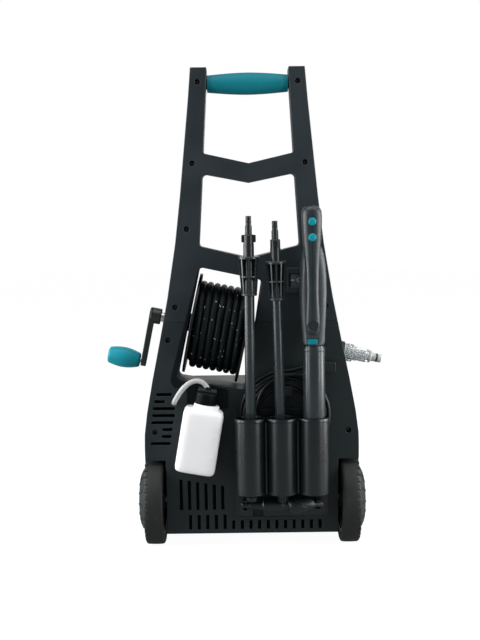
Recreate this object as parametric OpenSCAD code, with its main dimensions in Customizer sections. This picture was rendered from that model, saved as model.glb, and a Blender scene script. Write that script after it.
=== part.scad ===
// Trolley pressure washer: upright body on two wheels with a hose reel, a detergent bottle,
// two lances and a trigger gun on its rear side. Millimetres, +Z up, the rear side faces -Y.
// The origin is the middle of the front foot's underside.

/* [Body] */
// Height of the top of the handle rails above the floor
body_h = 880; // [860:1:900]
// Height of the body's lower edge above the floor
floor_gap = 28; // [24:1:32]
// Wall thickness of the moulded shells
wall = 3; // [2.5:0.1:3.5]
// Distance of the rear face behind the front foot
rear_y = -250; // [-252:1:-249]
// Front face of the body
front_y = 20; // [18:1:26]
// Depth of the handle rails
rail_depth = 45; // [42:1:48]

/* [Wheels] */
// Wheel radius over the tread
wheel_r = 84; // [80:1:86]
// Distance of the wheel's inner side from the middle
wheel_x = 163; // [163:0.5:165]
// Width of the tyre
tyre_w = 36; // [32:1:38]
// Axle radius
axle_r = 6; // [5:0.5:7]
// Distance of the axle behind the front foot
axle_y = -205; // [-207:1:-203]

/* [Hose reel] */
// Tilt of the reel's axis, falling to the right
reel_tilt = 11.5; // [11:0.5:12]
// Radius of the reel's flanges
flange_r = 94; // [90:1:95]
// Clear width between the flanges
reel_w = 96; // [92:1:97]
// Radius of the bare drum
drum_r = 45; // [40:1:46]
// Outer radius of the wound hose
winding_r = 84; // [80:1:86]
// Length of the crank from its axis to its grip
crank_len = 88; // [80:1:90]

/* [Detergent bottle] */
// Width of the bottle
bottle_w = 73; // [66:1:74]
// Depth of the bottle
bottle_d = 56; // [50:1:56]
// Height of the bottle's body
bottle_h = 118; // [110:1:120]
// Lean of the bottle to the right
bottle_tilt = 10; // [9:0.5:11]

/* [Accessories] */
// Outer radius of a holder cup
cup_r = 27; // [26.5:0.5:28]
// Spacing of the holder cups
cup_pitch = 57.2; // [57:0.1:58]
// Radius of a lance's sleeve
lance_r = 9.3; // [8.8:0.1:9.5]
// Radius of the gun's barrel sleeve
barrel_r = 20; // [18:0.5:21]
// Lean of the second lance to the left
lance_lean = 1.1; // [0:0.1:1.5]

/* [Power cord] */
// Diameter of the cord
cord_d = 7.2; // [6.8:0.1:7.4]
// Outer radius of the cord's coil
coil_r = 85; // [83:1:86]

/* [Hidden] */
$fn = 48;
seam_y = rear_y + 22;
seam_z = 421;
frame_z = 560;
bay_y = rear_y + 78;
rail_y = rear_y + rail_depth;
// Running clearance of a shaft in its bore, and loose clearance between bodies
run = 0.05;
gap = 0.3;

// Half of the body's outline, seen from behind: [half width, height]
half_outline = [
    [103, body_h], [108, 821], [125, 650], [135, 565], [151, 465], [166, 388], [181, 315],
    [192, 255], [197, 215], [197.5, 190], [196, 80], [188, floor_gap]
];
// Side profile of the body: [y, height]
profile = [
    [rear_y, floor_gap], [front_y - 8, floor_gap], [front_y, floor_gap + 12], [front_y, 330],
    [front_y - 12, 400], [-60, 490], [-150, 530], [rail_y, frame_z], [rail_y, body_h], [rear_y, body_h]
];
top_gap = [[-73.5, body_h + 20], [-73.5, body_h - 10], [-81.5, 727], [0, 708.5], [81.5, 727],
    [73.5, body_h - 10], [73.5, body_h + 20]];
mid_gap = [[-83.5, 691], [0, 674.5], [83.5, 691], [91.5, frame_z], [0, 537.5], [-91.5, frame_z]];
window = [[-92, 522], [22, 497], [-9.5, 296], [-136, 318]];
bay = [[-300, 288], [3.5, 288], [36, 575], [-300, 575]];
bay_far = 100;

arch_r = wheel_r + 9;
arch_x = wheel_x - 4;
axle_z = wheel_r;

// Screws through the shells: [x, z]
frame_screws_at = [[-90, 854], [90, 854], [-102, 709], [102, 709], [-114, 591], [114, 591],
    [-137, 449], [137, 449], [-151, 389], [-178, 219], [178, 219]];
screw_r = 2.2;
screw_head_r = 4.4;
boss_r = 7;
recess_deep = 9;

grip_z = body_h - 27.5;
grip_x = 73.2;
grip_mid_r = 19.5;
grip_end_r = 15.5;

reel_at = [-106, -190, 415.5];
shaft_r = 9;
bush_r = 13;
inner_wall_u = -8.8;
outer_wall_u = -53.6;
crank_u = -62;
grip_u = -86;
grip_len = 61;

bottle_at = [-95, rear_y - 3 - bottle_d / 2, 210.5];
neck_r = 16;
neck_h = 25;

cup_y = -300;
cup_x = -3.5;
cup_z = 115;
cup_h = 137;
cup_wall = 2.5;
cup_floor = 3;
cup_hole_r = 12;
plate_y = rear_y - 6;
plate_x = [-31.5, 138.5];
plate_z = [58, 262];

lance_a_x = -2;
lance_b_x = cup_x + cup_pitch;
lance_top = 498;
nozzle_top = 62;
gun_x = 109;
barrel_x = 112;
gun_z = 374;
port_z = 418;
trigger_pivot = [gun_x, -300, 548];
spare_y = plate_y - 20;
spare_z = 87;

switch_x = 83;
switch_z = 496;
rocker_r = 12.5;
rocker_y = rear_y + 7;

inlet_at = [168, -208, 361];
coil_at = [62, -265, 250];
coil_inner_r = 49;
coil_half_t = cord_d;
gland_x = 134;
gland_y = -262;
gland_z = 338;

motor_at = [78, -110, 0];
motor_r = 56;
pump_r = 40;
pump_z = 236;

// Round-number routes of the cord and the hoses
lead_route = [[gland_x - 26, gland_y, gland_z], [100, gland_y, 337.8], [90, -263, 336],
    [80, -264, 333.6], [70, -265, 331.6]];
tail_route = [[11, -265, 262], [12, -265, 252], [17, -265, 241], [25, -265, 233], [34, -265, 228.5],
    [44, -265, 227]];
suction_route = [[-141, rear_y + 4, 278], [-141, -262, 279], [-141, -274, 287], [-135, -280, 302],
    [-123, -281, 315], [-106, -281, 322], [-91, -281, 318], [-82, -281, 306]];
feed_route = [[147, -208, 365], [135, -208, 368], [125, -200, 372], [118, -180, 372], [112, -150, 366],
    [108, -128, 352], [107, -120, 340]];
outlet_route = [[27, -190, 388.5], [38, -188, 387], [48, -175, 386], [55, -155, 380], [58, -135, 366],
    [59, -124, 352], [60, -118, 340]];

charcoal = "#2b3032";
teal = "#1199a5";
steel = "#9aa0a4";
brass = "#b08d42";

// Helpers -------------------------------------------------------------------------------------

// Extrudes an outline drawn in X and Z from y0 to y1
module upright(y0, y1) {
    translate([0, y1, 0]) rotate([90, 0, 0]) linear_extrude(y1 - y0) children();
}

// Extrudes an outline drawn in Y and Z from x0 to x1
module sideways(x0, x1) {
    translate([x0, 0, 0]) rotate([90, 0, 90]) linear_extrude(x1 - x0) children();
}

// A box from its low corner to its high corner
module block(low, high) {
    translate(low) cube(high - low);
}

// A polygon with its corners rounded
module rounded(points, r) {
    offset(r = r, $fn = 24) offset(delta = -r) polygon(points);
}

// A cylinder along X, Y
module rod_x(x0, x1, y, z, r) {
    translate([x0, y, z]) rotate([0, 90, 0]) cylinder(r = r, h = x1 - x0);
}
module rod_y(y0, y1, x, z, r) {
    translate([x, y1, z]) rotate([90, 0, 0]) cylinder(r = r, h = y1 - y0);
}

function mirrored(half) = concat(half, [for (i = [len(half) - 1 : -1 : 0]) [-half[i][0], half[i][1]]]);

// A smooth line through a route's points
function knot(p, i) = p[max(0, min(len(p) - 1, i))];
function blend4(a, b, c, d, t) = 0.5 * (2 * b + (c - a) * t + (2 * a - 5 * b + 4 * c - d) * t * t
    + (3 * b - 3 * c + d - a) * t * t * t);
function smooth(p, n) = concat(
    [for (i = [0 : len(p) - 2], j = [0 : n - 1])
        blend4(knot(p, i - 1), p[i], p[i + 1], knot(p, i + 2), j / n)],
    [p[len(p) - 1]]);

// A round tube swept along a line, side is a direction that the line never takes
module swept(line, r, side, sides = 10) {
    n = len(line);
    rings = [for (i = [0 : n - 1])
        let (t = knot(line, i + 1) - knot(line, i - 1), f = t / norm(t),
            u = cross(f, side) / norm(cross(f, side)), v = cross(f, u))
        for (k = [0 : sides - 1])
            line[i] + r * (cos(360 * k / sides) * u + sin(360 * k / sides) * v)];
    walls = [for (i = [0 : n - 2], k = [0 : sides - 1])
        let (a = i * sides + k, b = i * sides + (k + 1) % sides)
        [a, b, b + sides, a + sides]];
    ends = [[for (k = [sides - 1 : -1 : 0]) k], [for (k = [0 : sides - 1]) (n - 1) * sides + k]];
    polyhedron(points = rings, faces = [for (f = concat(walls, ends)) [for (j = [len(f) - 1 : -1 : 0]) f[j]]]);
}

// Body shells ---------------------------------------------------------------------------------

// The openings through the body, grown outwards by a wall
module gaps(grow) {
    offset(delta = grow) rounded(top_gap, 5);
    offset(delta = grow) rounded(mid_gap, 7);
    offset(delta = grow) rounded(window, 8);
}

// The whole body as one solid, drawn in from its outside by inset
module body_solid(inset) {
    difference() {
        intersection() {
            upright(rear_y - 10, front_y + 10) offset(delta = -inset) polygon(mirrored(half_outline));
            sideways(-220, 220) offset(delta = -inset) polygon(profile);
        }
        upright(rear_y - 20, front_y + 20) gaps(inset);
        upright(bay_y - inset, bay_far) offset(delta = inset) polygon(bay);
        for (side = [-1, 1])
            rod_x(side > 0 ? arch_x - inset : -240, side > 0 ? 240 : inset - arch_x, axle_y, axle_z,
                arch_r + inset);
    }
}

module body_shell() {
    difference() {
        body_solid(0);
        body_solid(wall);
    }
}

// Screw bosses of the rear shells, between two heights
module rear_bosses(low, high) {
    for (p = frame_screws_at)
        if (p[1] > low && p[1] < high)
            rod_y(rear_y + 1, seam_y, p[0], p[1], boss_r);
}
module rear_boss_holes() {
    for (p = frame_screws_at) {
        rod_y(rear_y - 1, rear_y + recess_deep, p[0], p[1], screw_head_r + 0.4);
        rod_y(rear_y, seam_y + 1, p[0], p[1], screw_r + 0.1);
    }
}
module front_bosses(low, high, back) {
    for (p = frame_screws_at)
        if (p[1] > low && p[1] < high && (p[1] > frame_z || p[0] < 0))
            rod_y(seam_y, back, p[0], p[1], boss_r - 1);
}
// A boss that a rib ties to the side wall, side is 1 or -1
module ribbed_boss(side, x, z, wall_x) {
    rod_y(seam_y, seam_y + 25, side * x, z, boss_r - 1);
    block([min(side * x, side * wall_x), seam_y, z - 1.5], [max(side * x, side * wall_x), seam_y + 25, z + 1.5]);
}
module front_boss_holes() {
    for (p = frame_screws_at)
        rod_y(seam_y - 1, seam_y + 17, p[0], p[1], screw_r + 0.1);
}

module reel_place() {
    translate(reel_at) rotate([0, 90 + reel_tilt, 0]) children();
}
module grip_holes() {
    rod_x(-grip_x - 12, grip_x + 12, seam_y, grip_z, 10.1);
}

module upper_frame_rear() {
    color(charcoal) difference() {
        union() {
            intersection() {
                body_shell();
                block([-230, rear_y - 1, seam_z], [230, seam_y, body_h + 1]);
            }
            rear_bosses(seam_z, body_h);
        }
        rear_boss_holes();
        grip_holes();
        block([switch_x - 15, rear_y - 1, switch_z - 21], [switch_x + 15, seam_y, switch_z + 21]);
    }
}

module upper_frame_front() {
    color(charcoal) difference() {
        union() {
            intersection() {
                body_shell();
                block([-230, seam_y, frame_z], [230, rail_y + 1, body_h + 1]);
            }
            front_bosses(frame_z, body_h, rail_y - 1);
        }
        front_boss_holes();
        grip_holes();
    }
}

slot_h = 5;
slot_pitch = 13;
slot_top = 289;
// Rows of side slots: [outer end, inner end] before they follow the outline
slot_ends = [[-174, -146], [-178, -159], [-181, -141], [-182, -141], [-184, -144], [-164, -146],
    [-165, -148], [-186, -150]];

module vents() {
    for (i = [0 : len(slot_ends) - 1])
        block([slot_ends[i][0], rear_y - 1, slot_top - i * slot_pitch - slot_h / 2],
            [slot_ends[i][1], rear_y + wall + 1, slot_top - i * slot_pitch + slot_h / 2]);
    for (i = [0 : 5])
        block([-134.5 + i * 15.4, rear_y - 1, 73], [-129 + i * 15.4, rear_y + wall + 1, 130 - 2.6 * i]);
    for (i = [0 : 15])
        block([-118 + i * 16, rear_y - 1, 36], [-112.5 + i * 16, rear_y + wall + 1, i < 5 ? 63 : 52]);
}

module bottle_place() {
    translate(bottle_at) rotate([0, bottle_tilt, 0]) children();
}

module rear_cover() {
    color(charcoal) difference() {
        union() {
            intersection() {
                body_shell();
                block([-230, rear_y - 1, floor_gap - 1], [230, seam_y, seam_z]);
            }
            rear_bosses(0, seam_z);
            // peg that the cord's coil hangs on
            block([coil_at[0] - 12, -276, 288], [coil_at[0] + 12, rear_y + 1, 296]);
            block([coil_at[0] - 12, -279, 288], [coil_at[0] + 12, -275.5, 306]);
            // bracket that the bottle's cap hangs from
            bottle_place() block([-17, -12, 89], [17, bottle_d / 2 + 4, 93]);
        }
        rear_boss_holes();
        vents();
        bottle_place() translate([0, 0, 85]) cylinder(r = 6.1, h = 12);
        rod_y(rear_y - 1, rear_y + 5, -141, 278, 5);
        rod_y(rear_y - 1, rear_y + 5, 145, gland_z, 6.1);
    }
}

module front_cover() {
    color(charcoal) difference() {
        union() {
            intersection() {
                body_shell();
                block([-230, seam_y, floor_gap - 1], [230, front_y + 1, frame_z]);
            }
            front_bosses(300, frame_z, bay_y - 1);
            ribbed_boss(1, 137, 449, 152.5);
            ribbed_boss(1, 178, 219, 195);
            ribbed_boss(-1, 178, 219, 195);
            // round seat of the water inlet
            inlet_place() translate([0, 0, -4]) cylinder(r = 19, h = 9.2);
        }
        front_boss_holes();
        rod_x(-arch_x - 4, arch_x + 4, axle_y, axle_z, axle_r + gap);
        reel_place() translate([0, 0, -60]) cylinder(r = bush_r + run, h = 56);
        reel_place() translate([0, 0, 108]) cylinder(r = bush_r + gap, h = 20);
        inlet_place() translate([0, 0, -14]) cylinder(r = 12, h = 28);
        inlet_place() translate([0, 0, 5.2]) cylinder(r = 17.5, h = 24);
        for (i = [0 : 9])
            block([-70, front_y - 5, 60 + i * 11], [70, front_y + 1, 65 + i * 11]);
    }
}

module front_accent() {
    color(teal) upright(front_y, front_y + 3) rounded(
        [[-62, 180], [62, 180], [82, 270], [62, 286], [-62, 286], [-82, 270]], 8);
}

module base_tray() {
    color(charcoal) difference() {
        union() {
            block([-150, rear_y + 8, floor_gap + wall], [150, front_y - 12, floor_gap + wall + 6]);
            translate(motor_at) translate([0, 0, floor_gap + wall]) cylinder(r = motor_r + 5, h = 30);
            for (side = [-1, 1])
                block([side * 139 - 11, axle_y - 18, floor_gap + wall], [side * 139 + 11, axle_y + 18, 106]);
        }
        translate(motor_at) translate([0, 0, floor_gap + wall + 6]) cylinder(r = motor_r + run, h = 40);
        rod_x(-160, 160, axle_y, axle_z, axle_r + run);
    }
}

module front_foot() {
    color("#1c1f20") difference() {
        sideways(-120, 120) rounded([[-14, 0], [14, 0], [16, 10], [16, floor_gap], [-16, floor_gap], [-16, 10]], 2);
        for (x = [-80, 0, 80])
            block([x - 30, -9, 8], [x + 30, 9, floor_gap + 1]);
    }
}

module handle_grip() {
    steps = 12;
    color("#0f828e") translate([0, seam_y, grip_z]) rotate([0, 90, 0]) union() {
        rotate_extrude() polygon(concat([[0, -grip_x]],
            [for (i = [0 : steps]) let (s = -1 + 2 * i / steps)
                [grip_end_r + (grip_mid_r - grip_end_r) * cos(90 * s), grip_x * s]],
            [[0, grip_x]]));
        translate([0, 0, -grip_x - 9]) cylinder(r = 10, h = 2 * grip_x + 18);
    }
}

module frame_screws() {
    color(steel) for (p = frame_screws_at) {
        rod_y(rear_y + recess_deep - 3.5, rear_y + recess_deep, p[0], p[1], screw_head_r);
        rod_y(rear_y + recess_deep - 0.5, seam_y + 14, p[0], p[1], screw_r);
    }
}

// Wheels --------------------------------------------------------------------------------------

module wheel_axle() {
    color(steel) for (side = [-1, 1]) union() {
        rod_x(-wheel_x - 34, wheel_x + 34, axle_y, axle_z, axle_r);
        rod_x(side > 0 ? wheel_x + 31.5 : -wheel_x - 36.5, side > 0 ? wheel_x + 36.5 : -wheel_x - 31.5,
            axle_y, axle_z, 10);
    }
}

// A wheel's own place: its axis along Z, its inner side at 0, its outer side upwards
module wheel_place(side) {
    translate([side * wheel_x, axle_y, axle_z]) rotate([0, side * 90, 0]) children();
}
rim_r = wheel_r - 18;

module wheel_rim() {
    difference() {
        union() {
            cylinder(r = 17, h = 31);
            translate([0, 0, 14]) cylinder(r = rim_r - 2, h = 5);
            rotate_extrude() polygon([[rim_r - 6, 2], [rim_r, 2], [rim_r, 36], [rim_r - 6, 36]]);
            for (a = [0 : 60 : 300])
                rotate([0, 0, a]) block([15, -2.5, 4], [rim_r - 4, 2.5, 30]);
        }
        translate([0, 0, -1]) cylinder(r = axle_r + run, h = 40);
    }
}
module wheel_tyre() {
    rotate_extrude() polygon([[rim_r, 3], [wheel_r - 6, 0], [wheel_r - 1.5, 3], [wheel_r, 8],
        [wheel_r, tyre_w - 8], [wheel_r - 1.5, tyre_w - 2], [wheel_r - 7, tyre_w + 1], [rim_r, tyre_w - 2]]);
}
module hub_cap() {
    rotate_extrude() polygon([[0, 45], [0, 49], [30, 48], [48, 44], [rim_r - 7, 38.5], [rim_r - 1, 36.3],
        [rim_r - 7, 36.3], [rim_r - 7, 33], [rim_r - 10, 33], [rim_r - 10, 36], [46, 41], [28, 44]]);
}

module wheel_rim_left() { color("#24282a") wheel_place(-1) wheel_rim(); }
module wheel_rim_right() { color("#24282a") wheel_place(1) wheel_rim(); }
module tyre_left() { color("#17191a") wheel_place(-1) wheel_tyre(); }
module tyre_right() { color("#17191a") wheel_place(1) wheel_tyre(); }
module hub_cap_left() { color(charcoal) wheel_place(-1) hub_cap(); }
module hub_cap_right() { color(charcoal) wheel_place(1) hub_cap(); }

// Hose reel -----------------------------------------------------------------------------------

module reel_drum() {
    color("#202426") reel_place() difference() {
        union() {
            translate([0, 0, -4]) cylinder(r = flange_r, h = 4);
            translate([0, 0, reel_w]) cylinder(r = flange_r, h = 4);
            cylinder(r = drum_r, h = reel_w);
            translate([0, 0, reel_w + 3]) cylinder(r = shaft_r, h = 19);
        }
        translate([0, 0, -5]) cylinder(r = shaft_r, h = 31);
        translate([0, 0, 30]) cylinder(r = drum_r - 4, h = reel_w - 34);
        for (a = [30 : 60 : 330])
            rotate([0, 0, a]) translate([drum_r - 18, 0, -5]) cylinder(r = 9, h = 36);
    }
}

module reel_hose() {
    turns = 7;
    pitch = reel_w / turns;
    steps = 6;
    color("#151718") reel_place() rotate_extrude() polygon(concat([[drum_r, 0.2], [drum_r, reel_w - 0.2]],
        [for (i = [turns - 1 : -1 : 0], k = [steps : -1 : 0])
            let (a = -80 + 160 * k / steps)
            [winding_r - pitch / 2 + pitch / 2 * cos(a), 0.2 + (i + 0.5) * (pitch - 0.05) + pitch / 2 * 0.98 * sin(a)]]));
}

module reel_shaft() {
    color(steel) reel_place() difference() {
        translate([0, 0, crank_u - 16]) cylinder(r = shaft_r, h = 26 - crank_u + 16);
        translate([0, 0, crank_u - 17]) cylinder(r = 2.5, h = 16);
    }
}

module reel_bushes() {
    color("#c9c6ba") reel_place() for (u = [inner_wall_u, outer_wall_u]) {
        out = u == inner_wall_u;
        difference() {
            union() {
                translate([0, 0, out ? u - 5 : u - 2.5]) cylinder(r = bush_r, h = 7.5);
                translate([0, 0, out ? u + 0.6 : u - 2.5]) cylinder(r = bush_r + 4, h = 1.9);
            }
            translate([0, 0, u - 10]) cylinder(r = shaft_r + run, h = 20);
        }
    }
}

module crank_arm() {
    color("#1d2022") reel_place() difference() {
        union() {
            translate([0, 0, crank_u - 18]) cylinder(r = 15, h = 18);
            translate([0, 0, crank_u - 22]) linear_extrude(10) difference() {
                union() {
                    polygon([[-6, -13], [crank_len, -9], [crank_len, 9], [-6, 13]]);
                    translate([crank_len, 0]) circle(r = 10);
                    circle(r = 14.3);
                }
                circle(r = 2);
            }
        }
        translate([0, 0, crank_u - 16]) cylinder(r = shaft_r + 0.02, h = 40);
        translate([crank_len, 0, crank_u - 25]) cylinder(r = 4, h = 20);
    }
}

module crank_pin() {
    color(steel) reel_place() translate([crank_len, 0, 0]) union() {
        translate([0, 0, grip_u - grip_len + 6]) cylinder(r = 4, h = grip_len - 6 - grip_u + crank_u - 12);
        translate([0, 0, grip_u - grip_len + 4]) cylinder(r = 7, h = 2.5);
    }
}

module crank_grip() {
    steps = 10;
    color(teal) reel_place() translate([crank_len, 0, grip_u - grip_len]) difference() {
        rotate_extrude() polygon(concat([[0, 0]],
            [for (i = [0 : steps]) let (s = i / steps) [11.5 + 7.5 * sin(20 + 150 * s), grip_len * s]],
            [[0, grip_len]]));
        translate([0, 0, -1]) cylinder(r = 4 + run, h = grip_len + 2);
        translate([0, 0, 3.5]) cylinder(r = 7 + gap, h = 3.4);
    }
}

module reel_union() {
    color(brass) reel_place() difference() {
        union() {
            translate([0, 0, 111]) cylinder(r = bush_r, h = 22);
            translate([0, 0, 119]) cylinder(r = bush_r + 5, h = 3);
            translate([0, 0, 133]) cylinder(r = 7, h = 5);
        }
        translate([0, 0, 110]) cylinder(r = shaft_r + run, h = 15);
    }
}

// Detergent bottle ----------------------------------------------------------------------------

module bottle_body(inset) {
    translate([0, 0, inset - bottle_h / 2]) linear_extrude(bottle_h - 14 - 2 * inset)
        rounded([[inset - bottle_w / 2, inset - bottle_d / 2], [bottle_w / 2 - inset, inset - bottle_d / 2],
            [bottle_w / 2 - inset, bottle_d / 2 - inset], [inset - bottle_w / 2, bottle_d / 2 - inset]], 9);
    hull() {
        translate([0, 0, bottle_h / 2 - 14 - 1.5 * inset]) linear_extrude(0.5)
            rounded([[inset - bottle_w / 2, inset - bottle_d / 2], [bottle_w / 2 - inset, inset - bottle_d / 2],
                [bottle_w / 2 - inset, bottle_d / 2 - inset], [inset - bottle_w / 2, bottle_d / 2 - inset]], 9);
        translate([0, 0, bottle_h / 2 - inset]) cylinder(r = 20 - inset, h = 0.5, $fn = 32);
    }
}

module bottle() {
    color("#e9ebea") bottle_place() difference() {
        union() {
            bottle_body(0);
            translate([0, 0, bottle_h / 2 - 2]) cylinder(r = neck_r, h = neck_h + 2);
            translate([3, 0, bottle_h / 2 - 2]) cylinder(r = 23.5, h = 9.4);
        }
        bottle_body(1.8);
        translate([0, 0, bottle_h / 2 - 6]) cylinder(r = neck_r - 2, h = neck_h + 8);
    }
}

module bottle_cap() {
    color("#26292b") bottle_place() difference() {
        union() {
            translate([0, 0, 67]) cylinder(r = 20, h = 21.7);
            translate([0, 0, 88]) cylinder(r = 6, h = 10);
            translate([0, 0, -48]) cylinder(r = 3.2, h = 134);
        }
        difference() {
            translate([0, 0, 66]) cylinder(r = neck_r + gap, h = 19);
            translate([0, 0, 60]) cylinder(r = 3.2, h = 30);
        }
        translate([0, 0, -49]) cylinder(r = 1.8, h = 160);
    }
}

module suction_tube() {
    color("#b9b6aa") swept(smooth(suction_route, 5), 4.7, [1, 1, 0]);
}

// Accessory holder ----------------------------------------------------------------------------

module accessory_holder() {
    color("#262b2d") difference() {
        union() {
            upright(plate_y, rear_y) rounded([[plate_x[0], plate_z[0]], [plate_x[1], plate_z[0]],
                [plate_x[1], plate_z[1]], [plate_x[0], plate_z[1]]], 12);
            for (i = [0 : 2]) {
                translate([cup_x + i * cup_pitch, cup_y, cup_z]) cylinder(r = cup_r, h = cup_h);
                block([cup_x + i * cup_pitch - 14, cup_y, cup_z], [cup_x + i * cup_pitch + 14, plate_y + 1, 158]);
            }
            for (i = [0 : 1])
                block([cup_x + i * cup_pitch + 20, cup_y - 4, cup_z], [cup_x + (i + 1) * cup_pitch - 20, cup_y + 4,
                    cup_z + cup_h - 8]);
            block([-18, spare_y - 8, spare_z - 10], [-10, plate_y + 1, spare_z + 10]);
            block([116, spare_y - 7, spare_z - 9], [124, plate_y + 1, spare_z + 9]);
        }
        for (i = [0 : 2]) {
            translate([cup_x + i * cup_pitch, cup_y, cup_z + cup_floor]) cylinder(r = cup_r - cup_wall, h = cup_h);
            translate([cup_x + i * cup_pitch, cup_y, cup_z - 1]) cylinder(r = cup_hole_r, h = 10);
        }
        // seats of the two clips, open towards the rear
        rod_x(-19, -9, spare_y, spare_z, 7 + run);
        block([-19, spare_y - 9, spare_z - 7 - run], [-9, spare_y, spare_z + 7 + run]);
        rod_x(115, 125, spare_y, spare_z, 6 + run);
        block([115, spare_y - 9, spare_z - 6 - run], [125, spare_y, spare_z + 6 + run]);
        block([0, plate_y - 1, plate_z[0] - 1], [20, rear_y + 1, plate_z[0] + 16]);
    }
}

// A lance's own place: its axis along Z, the cup floor's lower side at 0
module lance_place(second) {
    translate([second ? lance_b_x : lance_a_x, cup_y, cup_z]) rotate([0, second ? -lance_lean : 0, 0]) children();
}

// A coupler from its collar, an open cage of ribs between three rings, up to its bayonet nose
module lance_coupler(top) {
    low = top - 141;
    difference() {
        union() {
            rotate_extrude() polygon([[0, low], [12, low], [12, low + 26], [9.5, low + 29], [9.5, top - 49],
                [7.5, top - 46], [7.5, top - 33], [6.2, top - 31], [6.2, top - 18], [5, top - 16], [5, top],
                [0, top]]);
            for (ring = [[0, 4, 14], [32, 35, 16.4], [65, 69, 18.9]])
                translate([0, 0, low + ring[0]]) cylinder(r = ring[2], h = ring[1] - ring[0]);
            intersection() {
                for (a = [0 : 45 : 315])
                    rotate([0, 0, a]) block([8, -1.2, low + 2], [19, 1.2, low + 67]);
                rotate_extrude() polygon([[0, low + 2], [13.8, low + 2], [18.8, low + 67], [0, low + 67]]);
            }
            block([-13, -4, top - 47], [13, 4, top - 33]);
        }
        translate([0, 0, low - 1]) cylinder(r = lance_r, h = 21);
        translate([0, 0, low + 10]) cylinder(r = 2.5, h = top);
    }
}
module lance_tube(top) {
    difference() {
        translate([0, 0, nozzle_top]) cylinder(r = lance_r, h = top - 121 - nozzle_top);
        translate([0, 0, nozzle_top - 1]) cylinder(r = lance_r - 3, h = top - nozzle_top);
    }
}
module lance_a_coupler() { color("#1f2325") lance_place(false) lance_coupler(lance_top); }
module lance_b_coupler() { color("#1f2325") lance_place(true) rotate([0, 0, 90]) lance_coupler(lance_top - 9); }
module lance_a_tube() { color("#34393b") lance_place(false) lance_tube(lance_top); }
module lance_b_tube() { color("#34393b") lance_place(true) lance_tube(lance_top - 9); }

module lance_a_nozzle() {
    color("#1f2325") lance_place(false) difference() {
        rotate_extrude() polygon([[0, -14], [8, -14], [10.5, -12], [10.5, -6], [8.5, -5], [8.5, cup_floor + 1],
            [13, cup_floor + 1], [14, cup_floor + 10], [12.5, nozzle_top - 6], [10.5, nozzle_top], [0, nozzle_top]]);
        translate([0, 0, -19]) cylinder(r = 2, h = 90);
    }
}
module lance_b_nozzle() {
    color("#1f2325") lance_place(true) difference() {
        union() {
            rotate_extrude() polygon([[0, -16], [7, -16], [8.5, -2], [8.5, cup_floor + 1], [12, cup_floor + 1],
                [13.5, cup_floor + 8], [12.5, nozzle_top - 10], [10.5, nozzle_top], [0, nozzle_top]]);
            for (a = [0 : 30 : 330])
                rotate([0, 0, a]) block([6, -0.8, -15], [9.5, 0.8, -3]);
        }
        translate([0, 0, -22]) cylinder(r = 2, h = 90);
    }
}

// Trigger gun ---------------------------------------------------------------------------------

// The gun's two mouldings as one solid: a spine towards the rear and a wider case behind it
module gun_case() {
    upright(-333, -306) translate([gun_x, 0]) rounded([[-7, 402], [7, 402], [12.5, 411], [12.6, 434], [11.4, 478],
        [12.6, 520], [17, 575], [18.8, 604], [18.8, 620], [12, 631], [-12, 631], [-18.8, 620], [-18.8, 604],
        [-17, 575], [-12.6, 520], [-11.4, 478], [-12.6, 434], [-12.5, 411]], 4);
    upright(-312, -270) translate([barrel_x, 0]) rounded([[-19.5, gun_z], [19.5, gun_z], [21, 400], [23.5, 440],
        [24, 500], [20, 545], [17, 560], [-17, 560], [-20, 545], [-24, 500], [-23.5, 440], [-21, 400]], 5);
    upright(-314, -292) translate([barrel_x, 0]) rounded([[-15, 540], [15, 540], [17, 616], [11, 628], [-11, 628],
        [-17, 616]], 4);
}
module gun_hollow() {
    block([gun_x - 7.5, -329, 411], [gun_x + 7.5, -308, 540]);
    block([gun_x - 13, -309, 397], [gun_x + 13, -276, 540]);
    block([gun_x - 7, -324, 539], [gun_x + 7, -269, 618]);
    rod_y(-335, -308, gun_x, port_z, 9);
    rod_x(gun_x - 10, gun_x + 10, trigger_pivot[1], trigger_pivot[2], 3 + run);
    block([gun_x - 9.4, -313, 384.6], [gun_x + 9.4, -303, 395.4]);
    for (z = [574, 601.5])
        rod_y(-335, -331, gun_x, z, 7 + run);
}
module gun_half(side) {
    difference() {
        gun_case();
        gun_hollow();
        block([side > 0 ? gun_x - 60 : gun_x, -340, 300], [side > 0 ? gun_x : gun_x + 60, -260, 700]);
    }
}
module gun_shell_left() { color("#24292b") gun_half(-1); }
module gun_shell_right() { color("#24292b") gun_half(1); }

module gun_barrel() {
    color("#303638") translate([barrel_x, cup_y, 0]) difference() {
        rotate_extrude() polygon([[0, cup_z + cup_floor + 1], [17, cup_z + cup_floor + 1], [barrel_r, cup_z + 12],
            [barrel_r, gun_z - 6], [barrel_r - 1, gun_z], [0, gun_z]]);
        translate([0, 0, cup_z]) cylinder(r = 9, h = 50);
        translate([0, 0, cup_z]) cylinder(r = 3, h = 400);
    }
}

module gun_trigger() {
    color("#1b1e20") union() {
        sideways(gun_x - 6, gun_x + 6) polygon([[-305, 543], [-295, 541], [-280, 552], [-266, 568], [-263, 590],
            [-266, 611], [-272, 613], [-272, 592], [-276, 572], [-290, 556], [-305, 553]]);
        rod_x(gun_x - 9.7, gun_x + 9.7, trigger_pivot[1], trigger_pivot[2], 3);
    }
}

module gun_latch() {
    color(teal) union() {
        block([gun_x - 9, -317, 385], [gun_x + 9, -309.5, 395]);
        block([gun_x - 5, -310, 388], [gun_x + 5, -306.5, 392]);
    }
}

module gun_valve() {
    color(brass) difference() {
        union() {
            block([gun_x - 9, -308.7, 400], [gun_x + 9, -288, 480]);
            rod_y(-334, -308, gun_x, port_z, 8);
            translate([gun_x, -302, 480]) cylinder(r = 5, h = 30);
        }
        rod_y(-335, -305, gun_x, port_z, 5);
    }
}

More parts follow.
